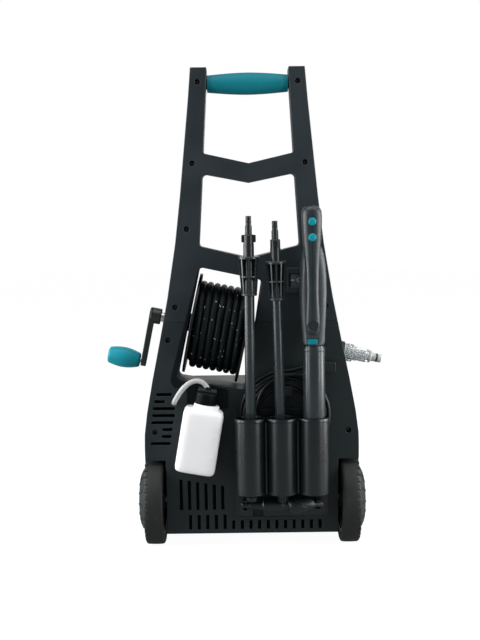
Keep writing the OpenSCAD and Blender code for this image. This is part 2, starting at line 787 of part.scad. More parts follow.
module gun_caps() {
    color(teal) for (z = [574, 601.5])
        rod_y(-334, -331, gun_x, z, 7);
}

module spare_nozzle() {
    color("#24292b") translate([-20, spare_y, spare_z]) rotate([0, 90, 0]) difference() {
        rotate_extrude() polygon([[0, 0], [7, 0], [7, 14], [9, 15], [9, 38], [11, 40], [11.5, 72], [10, 76],
            [10, 84], [15, 88], [17, 95], [17, 102], [14, 116], [9, 130], [6, 133], [6, 149], [0, 149]]);
        translate([0, 0, -1]) cylinder(r = 4, h = 30);
    }
}

// Switch, inlet, cord -------------------------------------------------------------------------

// The switch lies on its side, so its rocker tips to the left and to the right
module switch_housing() {
    color("#33393b") difference() {
        union() {
            upright(rear_y - 3, rear_y) rounded([[switch_x - 16, switch_z - 23], [switch_x + 16, switch_z - 23],
                [switch_x + 16, switch_z + 23], [switch_x - 16, switch_z + 23]], 3);
            block([switch_x - 14.5, rear_y - 1, switch_z - 20], [switch_x + 14.5, rear_y + 30, switch_z + 20]);
        }
        translate([switch_x, rocker_y, switch_z - 12]) cylinder(r = rocker_r + gap, h = 24);
        block([switch_x - 12.3, rear_y - 5, switch_z - 12], [switch_x + 12.3, rocker_y, switch_z + 12]);
        block([switch_x - 11, rear_y + 20.5, switch_z - 17], [switch_x + 11, rear_y + 31, switch_z + 17]);
    }
}

module switch_rocker() {
    color("#15181a") difference() {
        translate([switch_x, rocker_y, switch_z - 11.5]) cylinder(r = rocker_r, h = 23);
        translate([switch_x, 0, switch_z - 20]) linear_extrude(40)
            polygon([[-20, rear_y - 20], [0, rear_y - 20], [0, rear_y - 3], [-14, rear_y - 5]]);
        translate([switch_x, 0, switch_z - 20]) linear_extrude(40)
            polygon([[20, rear_y - 20], [0, rear_y - 20], [0, rear_y - 3], [14, rear_y - 1]]);
    }
}

module inlet_place() {
    translate(inlet_at) rotate([0, 90 + reel_tilt, 0]) children();
}
module inlet_adapter() {
    color(brass) inlet_place() difference() {
        union() {
            translate([0, 0, -16]) cylinder(r = 9, h = 8);
            translate([0, 0, -8]) cylinder(r = 11.8, h = 24);
            translate([0, 0, 5.4]) cylinder(r = 17, h = 3);
        }
        translate([0, 0, -20]) cylinder(r = 5, h = 40);
    }
}
module inlet_filter() {
    color([0.85, 0.9, 0.9, 0.5]) inlet_place() difference() {
        union() {
            translate([0, 0, 9]) cylinder(r = 16, h = 14);
            translate([0, 0, 22]) cylinder(r = 12.5, h = 30);
            translate([0, 0, 26]) cylinder(r = 13.5, h = 3);
        }
        translate([0, 0, 8]) cylinder(r = 11.8, h = 8);
        translate([0, 0, 15]) cylinder(r = 10, h = 33);
        translate([0, 0, 40]) cylinder(r = 6, h = 20);
    }
}
nose_r = 8;
module inlet_coupler() {
    color("#c9cccb") inlet_place() difference() {
        rotate_extrude() polygon([[4.5, 52], [11, 52], [11, 57], [nose_r, 58], [nose_r, 66], [6.8, 66.5],
            [6.8, 69.5], [nose_r, 70], [nose_r, 77], [4.5, 77]]);
        translate([0, 0, 40]) cylinder(r = 4.5, h = 50);
    }
}

module cord_gland() {
    color("#15181a") difference() {
        union() {
            upright(gland_y - 6, rear_y) rounded([[gland_x, gland_z - 9], [gland_x + 20, gland_z - 9],
                [gland_x + 20, gland_z + 9], [gland_x, gland_z + 9]], 3);
            translate([gland_x + 1, gland_y, gland_z]) rotate([0, -90, 0])
                cylinder(r1 = 6, r2 = 4.6, h = 27);
            rod_y(rear_y - 1, rear_y + 12, 145, gland_z, 6);
        }
        rod_x(gland_x - 27, gland_x + 8, gland_y, gland_z, cord_d / 2);
    }
}
module cord_lead() {
    color("#121415") {
        swept(smooth(lead_route, 3), cord_d / 2, [0, 1, 0]);
        swept(smooth(tail_route, 3), cord_d / 2, [0, 1, 0]);
    }
}
module cord_coil() {
    color("#121415") translate(coil_at) rotate([90, 0, 0]) rotate_extrude()
        polygon([[coil_inner_r, -coil_half_t], [coil_r, -coil_half_t], [coil_r, coil_half_t],
            [coil_inner_r, coil_half_t]]);
}
module cord_plug() {
    color("#101213") {
        upright(-273, -257) rounded([[44, 212], [50, 209], [84, 209], [84, 245], [50, 245], [44, 242]], 2);
        for (z = [217.5, 236.5])
            rod_x(84, 97, -265, z, 2.4);
    }
}

// Motor and pump ------------------------------------------------------------------------------

module motor_can() {
    color(steel) translate(motor_at) difference() {
        translate([0, 0, 40]) cylinder(r = motor_r, h = pump_z - 40);
        translate([0, 0, 52]) cylinder(r = motor_r - 3, h = pump_z - 62);
        translate([0, 0, 39]) cylinder(r = axle_r + run, h = 210);
        for (a = [0 : 30 : 330])
            rotate([0, 0, a]) translate([38, 0, 39]) cylinder(r = 5, h = 14);
    }
}
module motor_stator() {
    color("#b5651d") translate(motor_at) difference() {
        translate([0, 0, 90]) cylinder(r = motor_r - 3, h = 88);
        translate([0, 0, 89]) cylinder(r = 33, h = 90);
    }
}
module motor_rotor() {
    color("#7c8083") translate(motor_at) union() {
        translate([0, 0, 42]) cylinder(r = axle_r, h = 212);
        translate([0, 0, 92]) cylinder(r = 32, h = 84);
        translate([0, 0, 62]) cylinder(r = 15, h = 20);
    }
}
module motor_fan() {
    color("#2f3436") translate(motor_at) difference() {
        union() {
            translate([0, 0, 196]) cylinder(r = 14, h = 18);
            translate([0, 0, 196]) cylinder(r = 46, h = 3);
            for (a = [0 : 45 : 315])
                rotate([0, 0, a]) block([12, -1.5, 197], [44, 1.5, 212]);
        }
        translate([0, 0, 190]) cylinder(r = axle_r, h = 30);
    }
}
module swash_plate() {
    color(steel) translate(motor_at) difference() {
        translate([0, 0, pump_z + 6]) cylinder(r = 27, h = 22);
        translate([0, 0, pump_z + 22]) rotate([0, 14, 0]) translate([-50, -50, 0]) cube([100, 100, 40]);
        translate([0, 0, pump_z - 20]) cylinder(r = axle_r, h = 80);
    }
}
module pump_body() {
    color("#a9aeb1") translate(motor_at) difference() {
        translate([0, 0, pump_z]) cylinder(r = pump_r, h = 66);
        translate([0, 0, pump_z - 1]) cylinder(r = 30, h = 36);
        for (a = [0, 120, 240])
            rotate([0, 0, a]) translate([17, 0, pump_z + 30]) cylinder(r = 7 + run, h = 40);
    }
}
module pump_pistons() {
    color(steel) translate(motor_at) for (a = [0, 120, 240])
        rotate([0, 0, a]) translate([17, 0, pump_z + 29]) cylinder(r = 7, h = 34);
}
module pump_head() {
    color(brass) translate(motor_at) union() {
        translate([0, 0, pump_z + 66]) cylinder(r = pump_r, h = 34);
        for (x = [-18, 29])
            translate([x, x > 0 ? -10 : -8, pump_z + 90]) cylinder(r = 8, h = 14);
    }
}
module water_hoses() {
    color("#1b1d1e") {
        swept(smooth(feed_route, 4), 5.5, [0, 0.3, 1], 12);
        swept(smooth(outlet_route, 4), 4.5, [0, 0.3, 1], 12);
    }
}

upper_frame_rear();
upper_frame_front();
rear_cover();
front_cover();
front_accent();
base_tray();
front_foot();
handle_grip();
frame_screws();
wheel_axle();
wheel_rim_left();
tyre_left();
hub_cap_left();
wheel_rim_right();
tyre_right();
hub_cap_right();
reel_drum();
reel_hose();
reel_shaft();
reel_bushes();
crank_arm();
crank_pin();
crank_grip();
reel_union();
bottle();
bottle_cap();
suction_tube();
accessory_holder();
lance_a_coupler();
lance_a_tube();
lance_a_nozzle();
lance_b_coupler();
lance_b_tube();
lance_b_nozzle();
gun_shell_left();
gun_shell_right();
gun_barrel();
gun_trigger();
gun_latch();
gun_valve();
gun_caps();
spare_nozzle();
switch_housing();
switch_rocker();
inlet_adapter();
inlet_filter();
inlet_coupler();
cord_gland();
cord_lead();
cord_coil();
cord_plug();
motor_can();
motor_stator();
motor_rotor();
motor_fan();
swash_plate();
pump_body();
pump_pistons();
pump_head();
water_hoses();
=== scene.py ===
"""Trolley pressure washer seen from its reel side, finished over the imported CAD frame.

Places are in metres, outlines in millimetres scaled by MM. The rear side faces -Y, X runs to the
right and Z up, and the origin is the middle of the front foot's underside.
"""
import math

import bmesh
import bpy
from mathutils import Matrix, Vector


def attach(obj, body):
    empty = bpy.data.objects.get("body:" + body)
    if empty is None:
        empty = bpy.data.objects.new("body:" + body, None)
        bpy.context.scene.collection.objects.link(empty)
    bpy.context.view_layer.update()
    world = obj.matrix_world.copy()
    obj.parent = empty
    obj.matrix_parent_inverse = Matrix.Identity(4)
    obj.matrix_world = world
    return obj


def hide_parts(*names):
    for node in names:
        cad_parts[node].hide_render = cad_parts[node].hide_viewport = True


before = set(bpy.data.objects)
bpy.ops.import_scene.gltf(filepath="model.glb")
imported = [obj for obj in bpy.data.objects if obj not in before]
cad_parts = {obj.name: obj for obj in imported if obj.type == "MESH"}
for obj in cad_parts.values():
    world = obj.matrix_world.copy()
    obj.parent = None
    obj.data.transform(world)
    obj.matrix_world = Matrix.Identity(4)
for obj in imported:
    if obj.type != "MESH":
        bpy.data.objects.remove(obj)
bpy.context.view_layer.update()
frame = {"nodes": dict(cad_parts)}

bl_info = {
    "name": "Trolley pressure washer",
    "version": (1, 0, 0),
    "blender": (4, 5, 0),
    "location": "3D View > Sidebar > Washer",
    "description": "Builds the finished look of a trolley pressure washer over its CAD frame",
    "category": "Object",
}

MM = 0.001
REEL_PLACE = Matrix.Translation((-0.106, -0.190, 0.4155)) @ Matrix.Rotation(math.radians(101.5), 4, "Y")
BOTTLE_PLACE = Matrix.Translation((-0.095, -0.281, 0.2105)) @ Matrix.Rotation(math.radians(10.0), 4, "Y")
INLET_PLACE = Matrix.Translation((0.168, -0.208, 0.361)) @ Matrix.Rotation(math.radians(101.5), 4, "Y")
LANCE_A_PLACE = Matrix.Translation((-0.002, -0.300, 0.115))
LANCE_B_PLACE = Matrix.Translation((0.0537, -0.300, 0.115)) @ Matrix.Rotation(math.radians(-1.1), 4, "Y")
SPARE_PLACE = Matrix.Translation((-0.020, -0.276, 0.087)) @ Matrix.Rotation(math.radians(90.0), 4, "Y")
GRIP_PLACE = Matrix.Translation((0.0, -0.228, 0.8525)) @ Matrix.Rotation(math.radians(90.0), 4, "Y")
MOTOR_PLACE = Matrix.Translation((0.078, -0.110, 0.0))
GUN_PLACE = Matrix.Translation((0.109, 0, 0))
BARREL_PLACE = Matrix.Translation((0.112, 0, 0))
SCREWS = [(-90, 854), (90, 854), (-102, 709), (102, 709), (-114, 591), (114, 591), (-137, 449),
          (137, 449), (-151, 389), (-178, 219), (178, 219)]


def wheel_place(side):
    """A wheel's own place: its axis along Z, its inner side at 0 and its outer side upwards."""
    return Matrix.Translation((side * 0.163, -0.205, 0.084)) @ Matrix.Rotation(side * math.pi / 2, 4, "Y")


# Mesh makers, in millimetres in the piece's own place -------------------------------------------

def turned(outline, steps=48, wave=None):
    """A solid of revolution about Z. outline is [(radius, z)]; it closes on itself away from the axis."""
    bm = bmesh.new()
    rings = []
    for r, z in outline:
        if r <= 0:
            rings.append([bm.verts.new((0, 0, z))])
            continue
        ring = []
        for k in range(steps):
            a = 2 * math.pi * k / steps
            rr = wave(a, r, z) if wave else r
            ring.append(bm.verts.new((rr * math.cos(a), rr * math.sin(a), z)))
        rings.append(ring)
    pairs = list(zip(rings, rings[1:]))
    if len(rings[0]) > 1 and len(rings[-1]) > 1:
        pairs.append((rings[-1], rings[0]))
    for low, high in pairs:
        for k in range(steps):
            j = (k + 1) % steps
            if len(low) == 1 and len(high) == 1:
                break
            if len(low) == 1:
                bm.faces.new((low[0], high[k], high[j]))
            elif len(high) == 1:
                bm.faces.new((low[k], low[j], high[0]))
            else:
                bm.faces.new((low[k], low[j], high[j], high[k]))
    return bm


def sector(outline, half_angle, taper=0.0):
    """A short block that follows a circle about Z: outline [(radius, z)] between two angles, in degrees."""
    bm = bmesh.new()
    top = max(r for r, z in outline)
    sides = []
    for sign in (-1, 1):
        ring = []
        for r, z in outline:
            a = math.radians(sign * (half_angle - taper * (r / top) ** 8))
            ring.append(bm.verts.new((r * math.cos(a), r * math.sin(a), z)))
        sides.append(ring)
    n = len(outline)
    for i in range(n):
        j = (i + 1) % n
        bm.faces.new((sides[0][i], sides[0][j], sides[1][j], sides[1][i]))
    bm.faces.new(sides[0])
    bm.faces.new(list(reversed(sides[1])))
    return bm


def lofted(rings):
    """A closed skin over rings of points, its ends closed on their middles."""
    bm = bmesh.new()
    made = [[bm.verts.new(p) for p in ring] for ring in rings]
    n = len(made[0])
    for low, high in zip(made, made[1:]):
        for k in range(n):
            j = (k + 1) % n
            bm.faces.new((low[k], low[j], high[j], high[k]))
    for ring in (made[0], made[-1]):
        middle = bm.verts.new(sum((v.co for v in ring), Vector()) / n)
        for k in range(n):
            bm.faces.new((ring[k], ring[(k + 1) % n], middle))
    return bm


def prism(outline, y0, y1):
    """An outline drawn in X and Z, extruded along Y."""
    bm = bmesh.new()
    rear = [bm.verts.new((x, y0, z)) for x, z in outline]
    front = [bm.verts.new((x, y1, z)) for x, z in outline]
    n = len(outline)
    for k in range(n):
        j = (k + 1) % n
        bm.faces.new((rear[k], rear[j], front[j], front[k]))
    bm.faces.new(rear)
    bm.faces.new(list(reversed(front)))
    return bm


def swept(points, radius, sides=12, squash=1.0):
    """A round bar along a line; radius is a number or a function of the share of the way along."""
    pts = [Vector(p) for p in points]
    n = len(pts)
    tangents = [(pts[min(n - 1, i + 1)] - pts[max(0, i - 1)]).normalized() for i in range(n)]
    up = tangents[0].orthogonal().normalized()
    rings = []
    for i in range(n):
        up = (up - tangents[i] * up.dot(tangents[i])).normalized()
        side = tangents[i].cross(up)
        r = radius(i / (n - 1)) if callable(radius) else radius
        rings.append([pts[i] + r * (math.cos(a) * up + squash * math.sin(a) * side)
                      for a in (2 * math.pi * k / sides for k in range(sides))])
    return lofted(rings)


def rounded(points, radius, steps=5):
    """An outline with its corners rounded."""
    out = []
    n = len(points)
    for i in range(n):
        p = Vector(points[i])
        a = Vector(points[i - 1]) - p
        b = Vector(points[(i + 1) % n]) - p
        half = a.angle(b) / 2
        reach = min(radius / math.tan(half), a.length * 0.48, b.length * 0.48)
        start = p + a.normalized() * reach
        end = p + b.normalized() * reach
        for k in range(steps + 1):
            t = k / steps
            q = start * (1 - t) ** 2 + p * 2 * t * (1 - t) + end * t * t
            out.append((q.x, q.y))
    return out


def oval(rx, ry, z, cx=0.0, cy=0.0, n=48, power=2.0):
    """A ring about Z, from an ellipse at power 2 to nearly a box at power 8."""
    ring = []
    for k in range(n):
        a = 2 * math.pi * k / n
        c, s = math.cos(a), math.sin(a)
        f = (abs(c) ** power + abs(s) ** power) ** (-1 / power)
        ring.append(Vector((cx + rx * c * f, cy + ry * s * f, z)))
    return ring


def smooth_line(points, steps):
    """A smooth line through the points of a route."""
    pts = [Vector(p) for p in points]
    out = []
    for i in range(len(pts) - 1):
        a, b = pts[max(0, i - 1)], pts[i]
        c, d = pts[i + 1], pts[min(len(pts) - 1, i + 2)]
        for j in range(steps):
            t = j / steps
            out.append(0.5 * (2 * b + (c - a) * t + (2 * a - 5 * b + 4 * c - d) * t * t
                              + (3 * b - 3 * c + d - a) * t ** 3))
    return out + [pts[-1]]


def joined(*parts):
    """One bmesh out of several, each freed."""
    whole = bmesh.new()
    for part in parts:
        me = bpy.data.meshes.new("part")
        part.to_mesh(me)
        part.free()
        whole.from_mesh(me)
        bpy.data.meshes.remove(me)
    return whole


def piece(name, bm, place, material, body, replaced=(), sharp=35, bevel=0.0, metres=False):
    """Turns a bmesh in millimetres into a finished piece at the origin that rides on a body."""
    bmesh.ops.remove_doubles(bm, verts=bm.verts, dist=1e-6 if metres else 1e-4)
    bmesh.ops.recalc_face_normals(bm, faces=bm.faces)
    for f in bm.faces:
        f.smooth = True
    if not bevel:
        for e in bm.edges:
            if len(e.link_faces) == 2 and e.calc_face_angle(0.0) > math.radians(sharp):
                e.smooth = False
    me = bpy.data.meshes.new(name)
    bm.to_mesh(me)
    bm.free()
    me.transform((place or Matrix.Identity(4)) @ (Matrix.Identity(4) if metres else Matrix.Scale(MM, 4)))
    if place is not None and place.to_3x3().determinant() < 0:
        me.flip_normals()
    me.materials.append(material)
    obj = bpy.data.objects.new(name, me)
    bpy.context.scene.collection.objects.link(obj)
    if bevel:
        edge = obj.modifiers.new("soft edges", "BEVEL")
        edge.width = bevel * MM
        edge.segments = 2
        edge.limit_method = "ANGLE"
        edge.angle_limit = math.radians(sharp)
        edge.use_clamp_overlap = False
        edge.harden_normals = True
        edge.miter_outer = "MITER_ARC"
    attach(obj, body)
    if replaced:
        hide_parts(*replaced)
    return obj


def moulding(name, nodes, material, body, bevel=1.2, sharp=30):
    """A CAD node's copy with its edges softened as the real moulding's are."""
    bm = bmesh.new()
    for n in nodes:
        bm.from_mesh(frame["nodes"][n].data)
    bmesh.ops.remove_doubles(bm, verts=bm.verts, dist=2e-6)
    bmesh.ops.dissolve_limit(bm, angle_limit=0.002, verts=bm.verts, edges=bm.edges)
    bmesh.ops.triangulate(bm, faces=[f for f in bm.faces if len(f.verts) > 4])
    me = bpy.data.meshes.new(name)
    for f in bm.faces:
        f.smooth = True
    bm.to_mesh(me)
    bm.free()
    me.materials.append(material)
    obj = bpy.data.objects.new(name, me)
    bpy.context.scene.collection.objects.link(obj)
    edge = obj.modifiers.new("soft edges", "BEVEL")
    edge.width = bevel * MM
    edge.segments = 2
    edge.limit_method = "ANGLE"
    edge.angle_limit = math.radians(sharp)
    edge.use_clamp_overlap = False
    edge.loop_slide = False
    edge.face_strength_mode = "FSTR_ALL"
    even = obj.modifiers.new("even normals", "WEIGHTED_NORMAL")
    even.keep_sharp = True
    even.use_face_influence = True
    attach(obj, body)
    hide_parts(*nodes)
    return obj


def closed_curve(name, points, diameter, material, body):
    """A cord: one open spline with a round section, in metres."""
    data = bpy.data.curves.new(name, "CURVE")
    data.dimensions = "3D"
    data.bevel_depth = diameter / 2
    data.bevel_resolution = 3
    data.use_fill_caps = True
    line = data.splines.new("POLY")
    line.points.add(len(points) - 1)
    for i, p in enumerate(points):
        line.points[i].co = (p[0], p[1], p[2], 1)
    line.use_smooth = True
    data.materials.append(material)
    obj = bpy.data.objects.new(name, data)
    bpy.context.scene.collection.objects.link(obj)
    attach(obj, body)
    return obj


# Geometry Nodes for what repeats -----------------------------------------------------------------

def repeat_tree():
    """The tree that sets copies of a unit along a step and a turn, made once."""
    tree = bpy.data.node_groups.get("repeat a unit")
    if tree:
        return tree
    tree = bpy.data.node_groups.new("repeat a unit", "GeometryNodeTree")
    face = tree.interface
    face.new_socket("Unit", in_out="INPUT", socket_type="NodeSocketGeometry")
    face.new_socket("Count", in_out="INPUT", socket_type="NodeSocketInt")
    face.new_socket("Step", in_out="INPUT", socket_type="NodeSocketVector")
    face.new_socket("Turn", in_out="INPUT", socket_type="NodeSocketVector")
    face.new_socket("Finish", in_out="INPUT", socket_type="NodeSocketMaterial")
    face.new_socket("Pieces", in_out="OUTPUT", socket_type="NodeSocketGeometry")
    put = tree.nodes.new
    start, end = put("NodeGroupInput"), put("NodeGroupOutput")
    points, index = put("GeometryNodePoints"), put("GeometryNodeInputIndex")
    shift, spin = put("ShaderNodeVectorMath"), put("ShaderNodeVectorMath")
    copies, real, finish = (put("GeometryNodeInstanceOnPoints"), put("GeometryNodeRealizeInstances"),
                            put("GeometryNodeSetMaterial"))
    shift.operation = "SCALE"
    spin.operation = "SCALE"
    join = tree.links.new
    join(start.outputs["Count"], points.inputs["Count"])
    join(start.outputs["Step"], shift.inputs[0])
    join(index.outputs[0], shift.inputs["Scale"])
    join(start.outputs["Turn"], spin.inputs[0])
    join(index.outputs[0], spin.inputs["Scale"])
    join(shift.outputs[0], points.inputs["Position"])
    join(points.outputs[0], copies.inputs["Points"])
    join(start.outputs["Unit"], copies.inputs["Instance"])
    join(spin.outputs[0], copies.inputs["Rotation"])
    join(copies.outputs[0], real.inputs[0])
    join(real.outputs[0], finish.inputs["Geometry"])
    join(start.outputs["Finish"], finish.inputs["Material"])
    join(finish.outputs[0], end.inputs[0])
    return tree


def scatter_tree():
    """The tree that sets a unit on every point of a set of points, made once."""
    tree = bpy.data.node_groups.get("unit on points")
    if tree:
        return tree
    tree = bpy.data.node_groups.new("unit on points", "GeometryNodeTree")
    face = tree.interface
    face.new_socket("Places", in_out="INPUT", socket_type="NodeSocketGeometry")
    face.new_socket("Unit", in_out="INPUT", socket_type="NodeSocketObject")
    face.new_socket("Turn", in_out="INPUT", socket_type="NodeSocketVector")
    face.new_socket("Finish", in_out="INPUT", socket_type="NodeSocketMaterial")
    face.new_socket("Pieces", in_out="OUTPUT", socket_type="NodeSocketGeometry")
    put = tree.nodes.new
    start, end = put("NodeGroupInput"), put("NodeGroupOutput")
    unit, copies = put("GeometryNodeObjectInfo"), put("GeometryNodeInstanceOnPoints")
    chance = put("FunctionNodeRandomValue")
    chance.data_type = "FLOAT_VECTOR"
    chance.inputs["Seed"].default_value = 7
    real, finish = put("GeometryNodeRealizeInstances"), put("GeometryNodeSetMaterial")
    join = tree.links.new
    join(start.outputs["Unit"], unit.inputs["Object"])
    join(start.outputs["Turn"], chance.inputs["Max"])
    join(start.outputs["Places"], copies.inputs["Points"])
    join(unit.outputs["Geometry"], copies.inputs["Instance"])
    join(chance.outputs["Value"], copies.inputs["Rotation"])
    join(copies.outputs[0], real.inputs[0])
    join(real.outputs[0], finish.inputs["Geometry"])
    join(start.outputs["Finish"], finish.inputs["Material"])
    join(finish.outputs[0], end.inputs[0])
    return tree


def grown(bm, tree, values):
    """Runs a Geometry Nodes tree on a bmesh and gives the plain result back as a bmesh."""
    me = bpy.data.meshes.new("unit")
    bmesh.ops.recalc_face_normals(bm, faces=bm.faces)
    bm.to_mesh(me)
    bm.free()
    host = bpy.data.objects.new("unit", me)
    bpy.context.scene.collection.objects.link(host)
    mod = host.modifiers.new("grow", "NODES")
    mod.node_group = tree
    ids = {s.name: s.identifier for s in tree.interface.items_tree if s.in_out == "INPUT"}
    for key, value in values.items():
        mod[ids[key]] = value
    bpy.context.view_layer.update()
    out = bpy.data.meshes.new_from_object(host.evaluated_get(bpy.context.evaluated_depsgraph_get()))
    host.modifiers.remove(mod)
    bpy.data.objects.remove(host)
    result = bmesh.new()
    result.from_mesh(out)
    bpy.data.meshes.remove(out)
    return result


def repeated(unit, count, material, step=(0, 0, 0), turn=(0, 0, 0)):
    """count copies of a unit, each one step and one turn, in degrees, on from the last."""
    radians = [math.radians(a) for a in turn]
    return grown(unit, repeat_tree(), {"Count": count, "Step": list(map(float, step)),
                                       "Turn": radians, "Finish": material})


def scattered(unit, places, material, turn=(0, 0, 0)):
    """A unit on each place, turned by chance by up to turn, in degrees."""
    bmesh.ops.recalc_face_normals(unit, faces=unit.faces)
    me = bpy.data.meshes.new("head")
    unit.to_mesh(me)
    unit.free()
    head = bpy.data.objects.new("head", me)
    bpy.context.scene.collection.objects.link(head)
    spots = bmesh.new()
    for p in places:
        spots.verts.new(p)
    result = grown(spots, scatter_tree(), {"Unit": head, "Turn": [math.radians(a) for a in turn],
                                           "Finish": material})
    bpy.data.objects.remove(head)
    return result


# Finishes ------------------------------------------------------------------------------------------

def grain_group():
    """Shader group: fine moulded grain, soft mottling and scuffs over a surface, made once."""
    group = bpy.data.node_groups.get("moulded grain")
    if group:
        return group
    group = bpy.data.node_groups.new("moulded grain", "ShaderNodeTree")
    face = group.interface
    for name, kind, value in (("Place", "NodeSocketVector", None),
                              ("Grain Scale", "NodeSocketFloat", 900.0),
                              ("Mottle Scale", "NodeSocketFloat", 14.0),
                              ("Scuffs", "NodeSocketFloat", 0.3)):
        socket = face.new_socket(name, in_out="INPUT", socket_type=kind)
        if value is not None:
            socket.default_value = value
    for name in ("Grain", "Mottle", "Scuff"):
        face.new_socket(name, in_out="OUTPUT", socket_type="NodeSocketFloat")
    put, join = group.nodes.new, group.links.new
    start, end = put("NodeGroupInput"), put("NodeGroupOutput")
    grain, mottle, streak = put("ShaderNodeTexNoise"), put("ShaderNodeTexNoise"), put("ShaderNodeTexNoise")
    stretch, band, amount = put("ShaderNodeMapping"), put("ShaderNodeMapRange"), put("ShaderNodeMath")
    grain.inputs["Detail"].default_value = 2.0
    mottle.inputs["Detail"].default_value = 4.0
    streak.inputs["Scale"].default_value = 60.0
    streak.inputs["Detail"].default_value = 6.0
    streak.inputs["Roughness"].default_value = 0.7
    stretch.inputs["Scale"].default_value = (1.0, 1.0, 0.22)
    band.inputs["From Min"].default_value = 0.60
    band.inputs["From Max"].default_value = 0.78
    amount.operation = "MULTIPLY"
    join(start.outputs["Place"], grain.inputs["Vector"])
    join(start.outputs["Grain Scale"], grain.inputs["Scale"])
    join(start.outputs["Place"], mottle.inputs["Vector"])
    join(start.outputs["Mottle Scale"], mottle.inputs["Scale"])
    join(start.outputs["Place"], stretch.inputs["Vector"])
    join(stretch.outputs[0], streak.inputs["Vector"])
    join(streak.outputs[0], band.inputs["Value"])
    join(band.outputs[0], amount.inputs[0])
    join(start.outputs["Scuffs"], amount.inputs[1])
    join(grain.outputs[0], end.inputs["Grain"])
    join(mottle.outputs[0], end.inputs["Mottle"])
    join(amount.outputs[0], end.inputs["Scuff"])
    return group


def brushed_group():
    """Shader group: turning marks of machined metal round an axis, made once."""
    group = bpy.data.node_groups.get("machined marks")
    if group:
        return group
    group = bpy.data.node_groups.new("machined marks", "ShaderNodeTree")
    face = group.interface
    face.new_socket("Place", in_out="INPUT", socket_type="NodeSocketVector")
    pitch = face.new_socket("Pitch", in_out="INPUT", socket_type="NodeSocketFloat")
    pitch.default_value = 2400.0
    face.new_socket("Marks", in_out="OUTPUT", socket_type="NodeSocketFloat")
    put, join = group.nodes.new, group.links.new
    start, end = put("NodeGroupInput"), put("NodeGroupOutput")
    stretch, marks = put("ShaderNodeMapping"), put("ShaderNodeTexNoise")
    stretch.inputs["Scale"].default_value = (0.06, 0.06, 1.0)
    marks.inputs["Detail"].default_value = 3.0
    join(start.outputs["Place"], stretch.inputs["Vector"])
    join(stretch.outputs[0], marks.inputs["Vector"])
    join(start.outputs["Pitch"], marks.inputs["Scale"])
    join(marks.outputs[0], end.inputs["Marks"])
    return group


def surface(name, colour, rough, grain=900.0, depth=0.04, vary=0.18, scuffs=0.25, rough_vary=0.12,
            scuff_tint=2.6, **sockets):
    """A moulded finish: grain in its bump, mottled colour, scuffs that are paler and duller."""
    mat = bpy.data.materials.get(name)
    if mat:
        return mat
    mat = bpy.data.materials.new(name)
    mat.use_nodes = True
    put, join = mat.node_tree.nodes.new, mat.node_tree.links.new
    shader = mat.node_tree.nodes["Principled BSDF"]
    where, group = put("ShaderNodeTexCoord"), put("ShaderNodeGroup")
    group.node_tree = grain_group()
    group.inputs["Grain Scale"].default_value = grain
    group.inputs["Scuffs"].default_value = scuffs
    tone, worn = put("ShaderNodeMix"), put("ShaderNodeMix")
    tone.data_type = "RGBA"
    worn.data_type = "RGBA"
    c = Vector(colour[:3])
    tone.inputs["A"].default_value = (*(c * (1 - vary)), 1)
    tone.inputs["B"].default_value = (*(c * (1 + vary)), 1)
    worn.inputs["B"].default_value = (*[min(0.9, x * scuff_tint + 0.01) for x in c], 1)
    dull, bump = put("ShaderNodeMapRange"), put("ShaderNodeBump")
    dull.inputs["To Min"].default_value = max(0.02, rough - rough_vary)
    dull.inputs["To Max"].default_value = min(1.0, rough + rough_vary)
    dull.inputs["From Min"].default_value = 0.25
    dull.inputs["From Max"].default_value = 0.75
    bump.inputs["Strength"].default_value = 0.35
    bump.inputs["Distance"].default_value = depth * MM
    join(where.outputs["Object"], group.inputs["Place"])
    join(group.outputs["Mottle"], tone.inputs["Factor"])
    join(tone.outputs["Result"], worn.inputs["A"])
    join(group.outputs["Scuff"], worn.inputs["Factor"])
    join(worn.outputs["Result"], shader.inputs["Base Color"])
    join(group.outputs["Mottle"], dull.inputs["Value"])
    join(dull.outputs[0], shader.inputs["Roughness"])
    join(group.outputs["Grain"], bump.inputs["Height"])
    join(bump.outputs[0], shader.inputs["Normal"])
    for key, value in sockets.items():
        shader.inputs[key.replace("_", " ")].default_value = value
    return mat


def machined(name, colour, rough, pitch=2400.0, **sockets):
    """A metal with turning marks and a faint stain."""
    mat = bpy.data.materials.get(name)
    if mat:
        return mat
    mat = surface(name, colour, rough, grain=500.0, depth=0.01, vary=0.1, scuffs=0.15, rough_vary=0.08,
                  scuff_tint=0.8, Metallic=1.0, **sockets)
    tree = mat.node_tree
    marks = tree.nodes.new("ShaderNodeGroup")
    marks.node_tree = brushed_group()
    marks.inputs["Pitch"].default_value = pitch
    where = next(n for n in tree.nodes if n.type == "TEX_COORD")
    bump = next(n for n in tree.nodes if n.type == "BUMP")
    bump.inputs["Distance"].default_value = 0.02 * MM
    tree.links.new(where.outputs["Object"], marks.inputs["Place"])
    tree.links.new(marks.outputs["Marks"], bump.inputs["Height"])
    return mat


